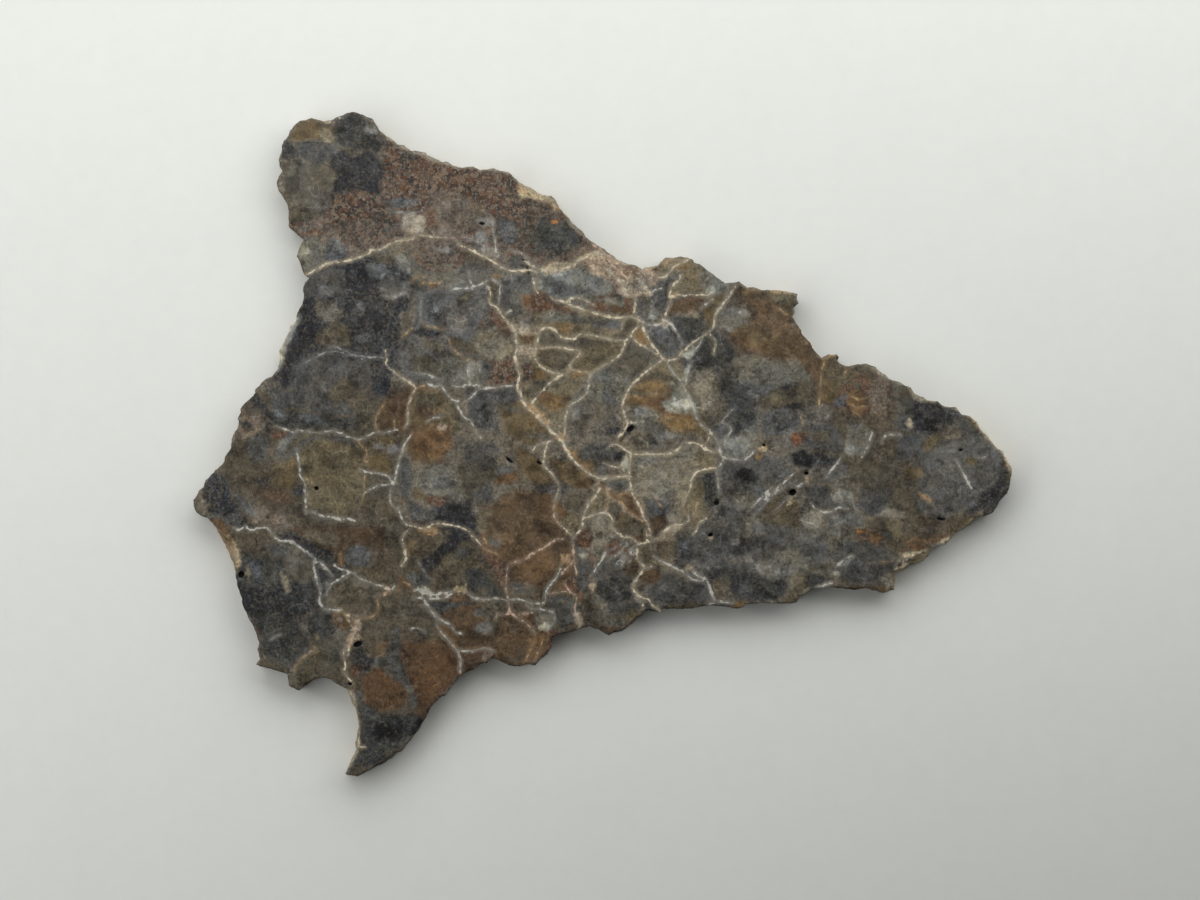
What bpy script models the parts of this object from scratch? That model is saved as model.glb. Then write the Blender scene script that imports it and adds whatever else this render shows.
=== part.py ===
"""A thin sawn slice of a lunar breccia meteorite, lying on its sawn back face.

One natural piece, so one object: two flat sawn faces, a ragged broken rim
between them, and the small holes where grains have fallen out of the face.
Everything is in metres. +X runs along the longest side, +Z is up, and the
origin is under the middle of the slice, on the surface that it rests on.
"""

import math

import bmesh
import bpy
from mathutils import Vector, noise

MM = 0.001

# Driving dimensions
LENGTH = 60.0 * MM
THICKNESS = 2.0 * MM
RIM_WEAR = 0.04 * MM
RIM_ROUGHNESS = 0.12 * MM
RIM_LUMP = 0.8 * MM
UNDERCUT = 0.35 * MM
UNDERCUT_REACH = 2.6 * MM
PIT_STEPS = 2

# The broken outline, clockwise from the notch in the neck, in millimetres.
HEAD_WEST = (
    (-21.8, 12.3), (-22.1, 13.0), (-22.4, 13.75), (-22.2, 14.35), (-21.9, 14.95),
    (-22.45, 15.35), (-23.05, 15.9), (-23.0, 17.0), (-23.2, 17.7), (-23.7, 18.45),
    (-23.9, 19.05), (-23.7, 19.6), (-23.45, 20.0), (-23.65, 20.35), (-23.7, 20.8),
    (-23.5, 21.5), (-23.5, 21.95), (-23.3, 22.3), (-23.0, 22.6), (-22.95, 22.95),
)
HEAD_TOP = (
    (-22.6, 23.3), (-22.2, 23.7), (-21.3, 23.9), (-20.9, 23.8), (-20.35, 23.65),
    (-19.8, 23.8), (-19.3, 24.0), (-18.7, 24.25), (-18.1, 24.38), (-17.55, 24.2),
    (-17.2, 24.0), (-16.8, 23.9), (-16.55, 23.5), (-16.25, 23.05), (-15.9, 22.75),
)
NORTH_SLOPE = (
    (-15.4, 22.45), (-15.0, 22.1), (-14.45, 22.05), (-14.05, 21.7), (-13.5, 21.65),
    (-12.9, 21.45), (-12.4, 21.15), (-11.8, 20.95), (-11.4, 20.8), (-10.9, 20.5),
    (-10.5, 20.35), (-9.45, 20.4), (-8.9, 20.1), (-8.4, 20.2), (-7.9, 20.25),
    (-7.5, 20.1), (-6.9, 20.0), (-6.35, 19.6), (-5.9, 19.15), (-5.3, 18.95),
    (-4.7, 18.55), (-4.3, 18.4), (-3.75, 18.35), (-3.4, 18.1), (-3.05, 17.4),
    (-2.55, 16.8), (-1.95, 16.1), (-1.25, 15.55), (-0.8, 15.0), (0.0, 14.55),
    (0.65, 14.15), (1.35, 13.7), (2.1, 13.35), (2.6, 13.15), (2.95, 12.9),
)
NORTH_KNOBS = (
    (3.15, 13.05), (4.0, 13.1), (4.25, 13.45), (4.65, 13.75), (5.15, 13.8),
    (5.7, 13.9), (6.3, 13.8), (6.65, 13.6), (6.8, 13.4), (7.2, 13.25),
    (7.6, 12.9), (8.0, 12.55), (8.55, 12.2), (9.0, 11.85), (9.45, 11.9),
    (10.0, 11.95), (10.35, 11.7), (10.6, 11.5), (11.05, 11.55), (11.5, 11.4),
    (12.65, 11.35), (13.35, 11.25), (13.95, 11.15), (14.3, 11.0), (14.25, 10.6),
    (14.4, 10.3), (14.05, 9.95), (14.1, 9.65), (13.95, 9.35),
)
EAST_SHOULDER = (
    (14.35, 8.75), (14.65, 8.4), (14.65, 8.05), (15.2, 7.55), (15.5, 7.0),
    (16.05, 6.35), (16.55, 6.65), (17.15, 6.6), (17.35, 6.4), (17.3, 6.1),
    (17.65, 5.85), (18.0, 5.75), (18.65, 5.9), (19.3, 5.95), (20.0, 5.75),
    (20.25, 5.45), (20.7, 5.15), (21.0, 4.8), (21.9, 4.55), (22.6, 4.2),
    (23.0, 3.7), (23.5, 3.5), (23.75, 3.25), (24.5, 3.2), (25.1, 2.8),
)
EAST_TIP = (
    (25.85, 2.8), (26.4, 2.25), (27.0, 2.15), (27.4, 1.85), (27.85, 1.2),
    (28.4, 0.65), (28.9, -0.1), (29.4, -0.5), (29.6, -1.05), (29.95, -1.6),
    (30.0, -2.25), (29.85, -2.85), (29.85, -3.2), (29.65, -3.65), (29.2, -4.1),
    (29.05, -4.45), (28.6, -5.05), (28.15, -5.25), (27.45, -5.5), (27.2, -5.85),
)
SOUTH_LEDGES = (
    (26.5, -6.35), (25.95, -6.65), (25.6, -6.95), (25.1, -7.4), (24.15, -7.7),
    (24.0, -8.3), (23.5, -8.7), (22.8, -8.9), (22.25, -9.2), (21.6, -9.55),
    (21.55, -10.3), (21.45, -10.75), (21.0, -10.8), (20.55, -10.95), (19.9, -10.8),
    (19.2, -10.6), (18.45, -10.7), (17.6, -10.6), (16.6, -10.5), (15.4, -10.6),
    (14.45, -11.15), (14.3, -11.6), (13.65, -11.7), (13.05, -11.75), (12.3, -11.7),
    (11.5, -11.7), (10.5, -11.75), (10.3, -12.0), (9.85, -12.1), (9.35, -12.0),
    (8.75, -11.9), (8.0, -11.85), (7.2, -11.95), (6.6, -12.1), (5.15, -12.1),
    (4.45, -12.1), (4.25, -12.4), (3.5, -12.2), (3.1, -12.25), (2.8, -12.6),
    (2.3, -13.05), (1.95, -13.4), (1.45, -13.7), (0.85, -13.85), (0.5, -14.05),
    (0.15, -13.9), (-0.3, -13.6), (-1.0, -13.4), (-1.6, -13.6), (-2.7, -13.9),
)
SOUTH_BAY = (
    (-3.2, -13.95), (-3.6, -14.25), (-3.7, -14.85), (-3.95, -15.35), (-4.4, -15.75),
    (-4.9, -16.2), (-5.35, -16.15), (-6.05, -16.3), (-6.8, -16.25), (-7.2, -16.05),
    (-8.05, -15.7), (-8.4, -16.1), (-8.9, -16.15), (-9.45, -16.55), (-10.05, -16.8),
    (-10.45, -17.1), (-10.95, -17.7), (-11.35, -18.35), (-11.9, -18.6), (-12.25, -18.95),
    (-12.6, -19.45), (-12.8, -19.9), (-13.1, -20.4), (-13.35, -20.9), (-13.8, -21.4),
    (-14.15, -21.9), (-14.65, -22.5), (-15.05, -22.65), (-15.5, -23.1), (-16.05, -23.45),
)
SPUR = (
    (-16.65, -23.75), (-17.05, -23.95), (-17.65, -24.25), (-17.95, -24.38), (-18.7, -24.3),
    (-18.9, -24.1), (-18.7, -23.65), (-18.45, -23.05), (-18.15, -22.4), (-18.2, -21.9),
    (-18.1, -21.5), (-18.0, -20.6), (-18.15, -19.95), (-18.35, -19.15), (-18.55, -18.5),
    (-18.75, -18.0), (-19.4, -17.65), (-19.9, -17.25), (-20.55, -17.1), (-21.15, -17.35),
    (-21.75, -17.75), (-22.15, -18.05), (-22.6, -17.9), (-23.0, -17.7), (-23.1, -16.85),
    (-23.8, -16.6), (-24.45, -16.45), (-25.05, -16.35), (-25.35, -16.1), (-25.1, -15.7),
)
SOUTH_WEST = (
    (-25.3, -15.05), (-25.15, -14.5), (-25.4, -13.75), (-25.85, -12.9), (-26.3, -11.95),
    (-26.5, -11.15), (-26.8, -10.25), (-26.95, -9.4), (-27.2, -8.7), (-27.6, -7.85),
    (-28.05, -6.95), (-28.5, -6.1), (-28.95, -5.5), (-29.5, -5.2), (-29.75, -5.0),
    (-29.95, -4.55), (-30.0, -4.05), (-29.55, -3.35), (-29.2, -3.1), (-29.05, -2.6),
)
WEST = (
    (-28.25, -1.75), (-27.7, -1.25), (-27.6, -0.75), (-27.25, -0.25), (-27.2, 0.4),
    (-26.9, 0.95), (-26.65, 1.45), (-26.75, 1.9), (-26.5, 2.35), (-26.55, 2.6),
    (-26.2, 3.05), (-25.55, 3.55), (-25.4, 4.05), (-25.1, 4.4), (-24.7, 4.8),
    (-24.25, 5.05), (-23.9, 5.55), (-23.75, 6.3), (-23.85, 6.9), (-23.45, 7.6),
    (-23.2, 8.05), (-22.95, 8.65), (-22.5, 9.05), (-22.35, 9.65), (-22.1, 10.1),
    (-21.9, 10.7), (-21.95, 11.3), (-21.85, 11.8), (-21.5, 12.2),
)
OUTLINE = (
    HEAD_WEST + HEAD_TOP + NORTH_SLOPE + NORTH_KNOBS + EAST_SHOULDER + EAST_TIP
    + SOUTH_LEDGES + SOUTH_BAY + SPUR + SOUTH_WEST + WEST
)

# Where the break slopes outwards below the upper face: the middle of the
# slope, how far it reaches along the rim and how far it cuts into the face,
# in millimetres.
BROKEN_SLOPES = (
    (-27.7, -7.4, 1.3, 0.80),
    (-23.6, 6.9, 1.3, 0.40),
    (-13.0, 21.5, 2.2, 0.35),
    (-4.6, 18.5, 1.3, 0.60),
    (-1.9, 16.0, 1.2, 0.25),
    (1.3, 13.8, 1.2, 0.70),
    (5.6, 13.9, 0.9, 0.25),
    (28.1, 0.9, 1.6, 0.22),
    (26.7, -6.3, 0.9, 0.45),
    (23.4, -8.6, 0.9, 0.70),
    (21.7, -9.9, 0.6, 0.45),
    (-18.2, -21.0, 2.2, 0.28),
)

# Holes where grains have dropped out of the upper face: middle, half length,
# half width, depth and turn, in millimetres and degrees.
PITS = (
    (-17.9, -14.6, 0.34, 0.20, 0.35, 25),
    (13.9, -3.5, 0.30, 0.24, 0.40, 30),
    (14.9, -2.1, 0.18, 0.13, 0.25, 0),
    (7.9, -6.6, 0.20, 0.14, 0.30, 20),
    (2.05, 1.15, 0.32, 0.18, 0.30, 35),
    (-26.4, -9.5, 0.26, 0.22, 0.35, 60),
    (-20.9, -3.2, 0.18, 0.16, 0.25, 0),
    (8.35, -4.3, 0.20, 0.14, 0.20, 10),
    (-6.8, -1.15, 0.34, 0.12, 0.20, -40),
    (-4.6, -1.35, 0.22, 0.12, 0.18, -30),
    (-8.8, 16.15, 0.24, 0.12, 0.18, -10),
    (26.2, -0.4, 0.18, 0.10, 0.15, 15),
    (-18.45, -17.5, 0.16, 0.12, 0.20, 0),
    (24.75, -5.45, 0.30, 0.09, 0.18, -8),
    (11.8, -0.05, 0.14, 0.11, 0.18, 0),
)

# Rings of the wall, from the back face up: share of the thickness, and the
# shares of the undercut and of the slope that the wall stands back by there.
WALL_RINGS = (
    (0.00, 1.00, 0.00),
    (0.18, 0.40, 0.03),
    (0.40, 0.10, 0.15),
    (0.63, 0.00, 0.42),
    (0.84, 0.00, 0.75),
    (1.00, 0.00, 1.00),
)

STONE_COLOUR = (0.105, 0.092, 0.075, 1.0)
STONE_ROUGHNESS = 0.55


def clear_scene():
    """Remove the start-up objects."""
    for thing in list(bpy.data.objects):
        bpy.data.objects.remove(thing, do_unlink=True)


def collection(name):
    made = bpy.data.collections.new(name)
    bpy.context.scene.collection.children.link(made)
    return made


def stone_material():
    """Mean tone of the breccia: dark olive grey, a little shiny where it was sawn."""
    material = bpy.data.materials.new("breccia")
    material.use_nodes = True
    shader = material.node_tree.nodes["Principled BSDF"]
    shader.inputs["Base Color"].default_value = STONE_COLOUR
    shader.inputs["Roughness"].default_value = STONE_ROUGHNESS
    shader.inputs["Metallic"].default_value = 0.0
    return material


def outline_points():
    """The outline in metres, anticlockwise seen from above, at its full length."""
    points = [Vector(point) * MM for point in reversed(OUTLINE)]
    traced = max(p.x for p in points) - min(p.x for p in points)
    return [p * (LENGTH / traced) for p in points]


def inward_directions(points):
    """At each point, the direction into the stone, square to the rim round about it."""
    count = len(points)
    directions = []
    for i in range(count):
        near = points[(i + 1) % count] - points[i - 1]
        wide = points[(i + 2) % count] - points[i - 2]
        along = near.normalized() + wide.normalized()
        directions.append(Vector((-along.y, along.x)).normalized())
    return directions


def slope_at(point):
    """How far the break cuts into the upper face beside this point of the rim."""
    cut = 0.0
    for x, y, reach, depth in BROKEN_SLOPES:
        away = (point - Vector((x, y)) * MM).length / (reach * MM)
        cut = max(cut, depth * MM * math.exp(-away * away))
    return cut


def grain(point, height, size):
    """Smooth noise from -1 to 1 with lumps of about this size."""
    return noise.noise(Vector((point.x, point.y, height)) / size)


def wall_ring(points, inward, level, undercut_share, slope_share):
    """One ring of the broken wall, standing back from the outline as the break does."""
    height = level * THICKNESS
    ring = []
    for point, direction in zip(points, inward):
        undercut = UNDERCUT * max(0.0, grain(point, 0.0, UNDERCUT_REACH))
        back = undercut_share * undercut + slope_share * slope_at(point) + RIM_WEAR
        if 0.0 < level < 1.0:
            back += RIM_ROUGHNESS * grain(point, height, RIM_LUMP)
        spot = point + direction * max(back, 0.0)
        ring.append((spot.x, spot.y, height))
    return ring


def slice_mesh():
    """The slab: a closed loft of the wall's rings between the two sawn faces."""
    points = outline_points()
    inward = inward_directions(points)
    shape = bmesh.new()
    rings = []
    for level, undercut_share, slope_share in WALL_RINGS:
        places = wall_ring(points, inward, level, undercut_share, slope_share)
        rings.append([shape.verts.new(place) for place in places])
    count = len(points)
    for lower, upper in zip(rings, rings[1:]):
        for i in range(count):
            after = (i + 1) % count
            shape.faces.new((lower[i], lower[after], upper[after], upper[i]))
    shape.faces.new(list(reversed(rings[0])))
    shape.faces.new(rings[-1])
    low = Vector([min(v.co[axis] for v in shape.verts) for axis in range(3)])
    high = Vector([max(v.co[axis] for v in shape.verts) for axis in range(3)])
    middle = (low + high) / 2.0
    bmesh.ops.translate(shape, vec=(-middle.x, -middle.y, 0.0), verts=shape.verts)
    mesh = bpy.data.meshes.new("meteorite_slice")
    shape.to_mesh(mesh)
    shape.free()
    return mesh


def pit_cutter(number, x, y, half_length, half_width, depth, turn, group):
    """A blunt ellipsoid sunk into the upper face, which leaves a pit of this depth."""
    bpy.ops.mesh.primitive_ico_sphere_add(subdivisions=PIT_STEPS, radius=1.0)
    cutter = bpy.context.object
    cutter.name = f"pit_cutter_{number}"
    cutter.location = (x * MM, y * MM, THICKNESS)
    cutter.rotation_euler = (0.0, 0.0, math.radians(turn))
    cutter.scale = (half_length * MM, half_width * MM, depth * MM)
    cutter.hide_render = True
    cutter.display_type = "WIRE"
    for owner in list(cutter.users_collection):
        owner.objects.unlink(cutter)
    group.objects.link(cutter)
    return cutter


def build():
    clear_scene()
    parts = collection("lunar_meteorite_slice")
    cutters = collection("pit_cutters")
    stone = bpy.data.objects.new("meteorite_slice", slice_mesh())
    parts.objects.link(stone)
    stone.data.materials.append(stone_material())
    for number, pit in enumerate(PITS, start=1):
        pit_cutter(number, *pit, cutters)
    drill = stone.modifiers.new("pits", "BOOLEAN")
    drill.operation = "DIFFERENCE"
    drill.operand_type = "COLLECTION"
    drill.collection = cutters
    drill.solver = "EXACT"


build()
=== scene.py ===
"""Looks of a sawn slice of lunar breccia: its clasts, veins, pits and broken rim.

The slice is one dense closed mesh that follows the solid of the frame: the
same two flat faces, the same rim and the same pits. Clasts are painted on it
from a list of drawn shapes, each in a named tone of rock. Veins are
drawn as lines, and a geometry node tree measures how far each point of the
rock lies from them. The shader then adds the grain, which is finer than the
mesh. Shapes on the faces are in millimetres, seen from above, with +X to the
right and the middle of the slice at 0, 0.
"""

import math
from statistics import NormalDist

import bmesh
import bpy
import numpy as np
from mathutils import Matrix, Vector, geometry, kdtree, noise


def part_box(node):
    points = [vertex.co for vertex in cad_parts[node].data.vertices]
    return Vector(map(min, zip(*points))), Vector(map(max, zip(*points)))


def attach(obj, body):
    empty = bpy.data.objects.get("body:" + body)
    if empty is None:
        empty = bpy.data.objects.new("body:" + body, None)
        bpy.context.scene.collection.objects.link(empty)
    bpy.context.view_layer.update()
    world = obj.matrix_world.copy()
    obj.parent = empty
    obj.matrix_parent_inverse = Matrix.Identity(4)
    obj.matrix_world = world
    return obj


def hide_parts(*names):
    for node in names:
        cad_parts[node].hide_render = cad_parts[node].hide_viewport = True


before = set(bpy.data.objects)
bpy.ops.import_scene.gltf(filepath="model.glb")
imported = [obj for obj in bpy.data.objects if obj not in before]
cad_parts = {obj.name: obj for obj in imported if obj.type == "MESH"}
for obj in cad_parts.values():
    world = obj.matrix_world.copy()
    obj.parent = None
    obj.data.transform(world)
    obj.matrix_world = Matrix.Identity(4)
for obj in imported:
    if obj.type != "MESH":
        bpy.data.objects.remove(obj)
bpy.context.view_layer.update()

bl_info = {
    "name": "Lunar Meteorite Slice",
    "version": (1, 0, 0),
    "blender": (4, 5, 0),
    "location": "View3D > Sidebar > Rock Slice",
    "description": "Builds the veined faces and broken rim of a lunar breccia slice and its stage",
    "category": "Object",
}

MM = 0.001
NODE = "meteorite_slice"
BODY = "root"
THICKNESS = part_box(NODE)[1].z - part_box(NODE)[0].z

# Tones of the rock as they look in middling light, red, green and blue of 255,
# then how gritty, how rusty and how crazed the rock is there, from 0 to 1.
TONES = {
    "black": (27, 27, 29, 0.35, 0, 0),
    "soot": (42, 42, 44, 0.6, 0, 0),
    "charcoal": (54, 55, 56, 0.8, 0, 0.1),
    "graphite": (56, 57, 55, 0.5, 0, 0.1),
    "slate": (72, 72, 70, 0.35, 0, 0.1),
    "slate_blue": (81, 82, 81, 0.4, 0, 0.1),
    "iron": (87, 87, 85, 0.25, 0, 0.1),
    "lead": (98, 96, 88, 0.3, 0, 0.2),
    "ash": (94, 89, 80, 0.4, 0, 0.3),
    "pearl": (117, 118, 113, 0.1, 0, 0.2),
    "lavender": (109, 107, 104, 0.15, 0, 0.2),
    "pale": (142, 142, 129, 0.05, 0, 0),
    "chalk": (172, 169, 157, 0.15, 0, 0),
    "olive": (82, 76, 62, 0.4, 0, 0.2),
    "moss": (92, 85, 67, 0.3, 0.05, 0.3),
    "khaki": (108, 100, 82, 0.25, 0, 0.3),
    "umber": (76, 70, 59, 0.35, 0, 0.1),
    "bark": (70, 57, 43, 0.3, 0.05, 0),
    "chestnut": (80, 65, 49, 0.25, 0.05, 0.1),
    "copper": (88, 72, 54, 0.2, 0.1, 0.15),
    "ochre": (90, 78, 57, 0.1, 0.05, 0.1),
    "gold": (117, 97, 68, 0.2, 0, 0),
    "sand": (103, 94, 83, 0.5, 0.3, 0.3),
    "rust": (91, 70, 55, 0.3, 0.7, 0),
    "rust_sand": (79, 67, 57, 0.3, 1.0, 0),
    "brown_sand": (87, 80, 72, 0.5, 0.7, 0.2),
    "dark_sand": (67, 64, 58, 0.6, 0.6, 0.1),
    "beige": (143, 134, 118, 0.4, 0, 0.2),
    "tan": (145, 123, 94, 0.4, 0.1, 0),
    "cream": (165, 152, 126, 0.4, 0, 0),
    "blush": (158, 143, 124, 0.5, 0.4, 0),
    "wine": (65, 45, 32, 0.3, 0.6, 0),
    "drab": (86, 82, 73, 0.05, 0, 0.15),
    "ink": (45, 46, 49, 0.5, 0, 0.1),
    "steel": (85, 87, 89, 0.5, 0, 0.2),
    "mud": (77, 72, 61, 0.25, 0, 0.2),
    "fog": (126, 123, 116, 0.1, 0, 0.1),
    "cinnamon": (97, 76, 53, 0.1, 0.15, 0.1),
    "oat": (120, 115, 101, 0.3, 0, 0.3),
    "amber": (170, 118, 70, 0.3, 0.1, 0),
    "sienna": (82, 62, 42, 0.2, 0.1, 0),
    "brick": (118, 74, 48, 0.3, 0.5, 0),
}
# Veins as they look in middling light, red, green and blue of 255.
VEIN_TONES = {
    "cream": (187, 175, 151),
    "white": (168, 165, 155),
    "tan": (150, 127, 95),
    "pink": (171, 149, 129),
    "rust": (116, 82, 58),
    "grey": (130, 130, 126),
    "dark": (36, 35, 35),
}
GROUND = "ash"
PALE_GRAIN = (0.24, 0.23, 0.21)
WARM_GRAIN = (0.22, 0.17, 0.11)
RUST_GRAIN = (0.125, 0.055, 0.026)
SAND_GRAIN = (0.25, 0.185, 0.13)
DARK_GRAIN = (0.028, 0.024, 0.022)
HAIRLINE = (0.26, 0.23, 0.17)
FRINGE = (0.34, 0.29, 0.21)
COOL_TINT = (0.97, 1.0, 1.05)
WARM_TINT = (1.07, 1.0, 0.86)
# Near black painted into the pits as shade, darker the deeper a point lies.
PIT_PAINTED_SHADE = (0.012, 0.011, 0.010)
PIT_FULL_DEPTH = 0.25 * MM
BACK_SHIFT = 0.8
VEIN_SWAY = 0.09
VEIN_SWAY_SIZE = 0.5
VEIN_TAPER = 0.8
LATTICE_SEED = 12
STAGE_BRIGHTNESS = 0.85
FLOOR_GAP = 0.00002
SENSOR_WIDTH = 36.0

# Broad areas of rock: each a tone, how soft its edge is, and its outline or its oval.
AREAS = """
sand .3 -24.5,13 -23.5,16 -24.3,20 -23.5,22.5 -22,24.3 -19.5,24.9 -16,24.2 -10,21.8 -5,19.6 0,15.8 1,14.2
 -4.6,12.8 -8,13.3 -12.6,15.1 -16,14.4 -21.7,12.2
brown_sand .4 -16.8,23.6 -10,21.5 -5,19.3 -.5,15.4 -2.5,13.6 -8,13.7 -12.6,15.3 -16,15 -17,17.5 -16,20
rust_sand .4 -15.9,21.5 -12,21 -8,19.8 -4,18 -1.8,15.9 -5,15.2 -9,15.2 -13.5,16 -16,18.5
ash .3 -21.8,12.4 -18.7,13.4 -16,14.5 -12.6,15 -10.5,14.3 -8,13 -7.8,11.5 -12,11.8 -15,13.4 -18,13
 -20,12.6 -21.9,11.4
charcoal .3 -22.3,12.3 -18.8,13.2 -16,14.2 -14,13.5 -13.5,11 -14.8,8.5 -14.6,5.8 -16,4.5 -19,4.5 -22,5
 -23.8,6 -23.3,10
iron .3 -14.3,14.2 -11,14.2 -8.5,12.9 -8.2,10.4 -6.5,8.4 -6,3.6 -14.2,4.8 -15.2,6 -14.6,8.4 -13.5,10.5
brown_sand .3 -8.3,10 -6.5,8.4 -6.3,5 -6,3.4 -8,3.4 -9.3,6 -9,9
umber .3 -26,3.6 -23.8,5.5 -20,4.8 -16,4.6 -14,3.5 -14.3,1 -15.3,-2.9 -18,-5.6 -22,-5.2 -26.4,-5.8
 -28.3,-5.4 -28.8,-3
olive .3 -24,.6 -21,.8 -18,.2 -17.2,-1.9 -17.3,-3.6 -18.2,-5.4 -21.5,-4.9 -23.8,-5
umber .3 -28.3,-5.5 -26,-5.6 -21.6,-5.1 -18,-5.6 -17.5,-7 -19,-8.3 -24,-8.6 -27.6,-8.3
graphite .3 -27.8,-8 -24,-8.2 -19.5,-7.4 -18.2,-9 -19,-15 -21,-16.7 -24,-15.5 -26,-12.5
charcoal .4 -23.8,-9.5 -20,-9 -19,-12 -19.3,-15 -22.4,-15.8 -24.6,-13.5
ash .3 -23.6,-13 -20.5,-12 -19,-13.5 -19.1,-15.6 -21,-17 -22.5,-15.5
umber .3 -18.6,-5.4 -15.4,-3 -14.3,-5.9 -14.5,-9 -15,-12 -14.5,-15 -18.5,-15.5 -19,-12.5 -18.4,-9 -19.5,-7
olive .3 -19.2,-9.8 -15.3,-9.2 -15.2,-12 -17.5,-12.6 -19,-12
umber .25 -19,-15 -14.4,-14.6 -12,-15.6 -12.1,-19.5 -14,-20.3 -15,-23 -17.9,-24.8 -19,-22
chestnut .25 -14.5,-13.4 -11.5,-13.8 -11.6,-17 -12.2,-19.6 -14,-20.3 -14.6,-18 -14.2,-15.6
ash .3 -14,3.5 -6.1,4.3 -5.5,3 -3.5,.8 -1.5,-1.7 -2.4,-4 -3.4,-6 -9,-7.2 -12,-6 -15,-5 -15.3,-3 -14.4,0
chestnut .3 -14.2,4.4 -12.6,4.1 -11.1,2.4 -11.5,-1.2 -13.7,-1.4 -14.3,.6
lead .3 -13.5,-1.6 -11,-1.5 -10,-3.8 -11.6,-4.6 -13.6,-3.8
soot .3 -12.4,-4.6 -9.6,-4 -8.9,-6.4 -9.4,-8 -12.6,-7.4
ash .3 -11.5,2.5 -6.2,3.6 -4,1 -4.3,-1.2 -5.2,-3.3 -9.3,-3.4 -11.2,-1.5
umber .3 -14.5,-6 -12,-6 -9,-7.2 -8.5,-9 -11,-11 -12,-14 -14.5,-14 -14.8,-11
chestnut .3 -12,-10.8 -8,-11 -4,-12.5 -5,-16 -8,-17.2 -12,-17
umber .3 -9,-7 -3.3,-5.3 -2.2,-6.9 -1,-9 0,-14 -4,-15.6 -8,-14 -10,-10
copper .3 -8.7,-4.6 -6.5,-3.4 -3.8,-3.4 -2.8,-5.5 -2.5,-7.6 -4,-9 -7.6,-8.6 -9,-7
khaki .3 -6.2,9 -3.7,8.5 2,7.6 1.2,6.4 -1,5 -2.5,2.6 -2.8,.4 -5.8,3.2 -6.2,5
ash .3 -8,13 -4.8,12.6 -3.8,10.8 -1.1,10.4 -2.7,10.3 -4,8.6 -6.5,8.6 -8.2,10.2 -8.5,12
khaki .3 -4,10.4 -2,10.1 .2,9.4 2,9.3 2.8,8.9 2,7.8 -1.8,8 -4,8.6
lead .3 -4.8,12.8 -1,12.9 1,12 2.4,10.6 2,9.4 -3.8,10.8
blush .25 -1.2,13.4 1,13.8 4,13.2 4,11 2.4,10.7 .8,11.2 -.6,12
lead .3 2.2,11.5 4,13.2 8,12.9 9.6,11.7 8.2,8.6 4.6,6.3 3,8.4
beige .35 3.2,8.8 4.5,6.6 6.4,7.6 7.6,8.8 6.8,9.8
lead .3 -2.5,2.6 -1,5 1,6.2 4.4,6.2 1.6,3 1.9,1.6 1,0 -1.6,-1.8 -2.8,.4
khaki .3 1.1,0 1.9,1.8 1.6,3.2 2.9,5 4.5,6.1 5.4,6.2 6.6,5 7.4,2 7.6,0 6.3,.2 4.8,-.6 2.9,-.6
slate .3 5.5,6.2 8,8.2 9.8,8.6 10.2,6 9.9,3.2 8,1.5
umber .3 8.1,8.6 9.7,11.7 12,11.4 15.6,8.4 16.2,6 15.6,3 13.6,2.4 11,3 9.9,4 9.8,7
iron .3 9.9,6 11,7.8 13,7.6 13.6,5 12,3.6 10,4
chestnut .3 14,9.8 17,8.2 18.6,6 16.2,4.4 15.8,6 14.4,8
khaki .3 1.2,-.3 4.5,-.8 8,-.7 8.5,-1.8 7,-2 6,-4.5 3,-5.2 2.2,-3.4 2,-1.5
beige .3 -.8,-2.4 2,-2.4 2.2,-3.7 3,-5.3 1,-5.5 -.2,-4.9 -.6,-3.8
lead .3 8,-.6 8.6,1.6 11.4,1.8 11.6,-.2 10.6,-1 8.8,-1
iron .3 8.6,-1.2 11,-.8 12.2,-2.4 12,-4.8 9,-5 8.4,-3.4
ash .3 7,3 10,3.3 13.6,2.4 16,2.8 16.6,.4 14,-1 11.5,-.2 11.4,1.8 8.6,1.6
umber .3 15.6,2.9 16.4,6 18.6,6 21,4.6 23,4 23,.6 22.6,-2.4 19,-2.8 17,-1.2 16.4,.8
rust .3 16.6,4.6 19,5 21.4,4.5 21.8,2.8 19,2.4 17,2.6
slate .3 22.9,3.7 26,3 28.2,1 29.6,-1 29.9,-2.4 28.5,-4.4 24,-5 22.6,-2.8
charcoal .3 22.9,3.6 25.3,3.2 25.3,1 23,.8
soot .3 26.8,-2.3 28.6,-2.2 29.5,-3 28.2,-4.6 26.4,-5.2
umber .3 22.4,-1.5 24,-5 27.4,-5.2 25.4,-6.9 24,-8.8 21.8,-9 20,-6.4 20.6,-3
ash .3 12,-1.4 15,-.5 18.4,-2.2 20.4,-3 20.4,-6 17,-7.4 13,-7.4 12,-5 12.2,-3
ash .3 2,-7 7.4,-6.8 12,-7.4 17,-7.6 21.8,-9 20,-10.8 16,-10.5 12,-10.6 8,-11.6 3,-13.5 0,-14 -1,-9
slate .3 5.5,-7.2 12,-7.4 12.4,-10 8,-11.3 6,-9.4
slate .3 17,-7.2 20.5,-7 21.8,-9 19.5,-10.2 17,-9.6
lead .3 12,-7.3 17,-7.4 17,-9.4 13,-10 12,-9
umber .3 -3.3,-12 1.6,-12.4 1.4,-14.6 -3,-14.6
"""

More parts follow.
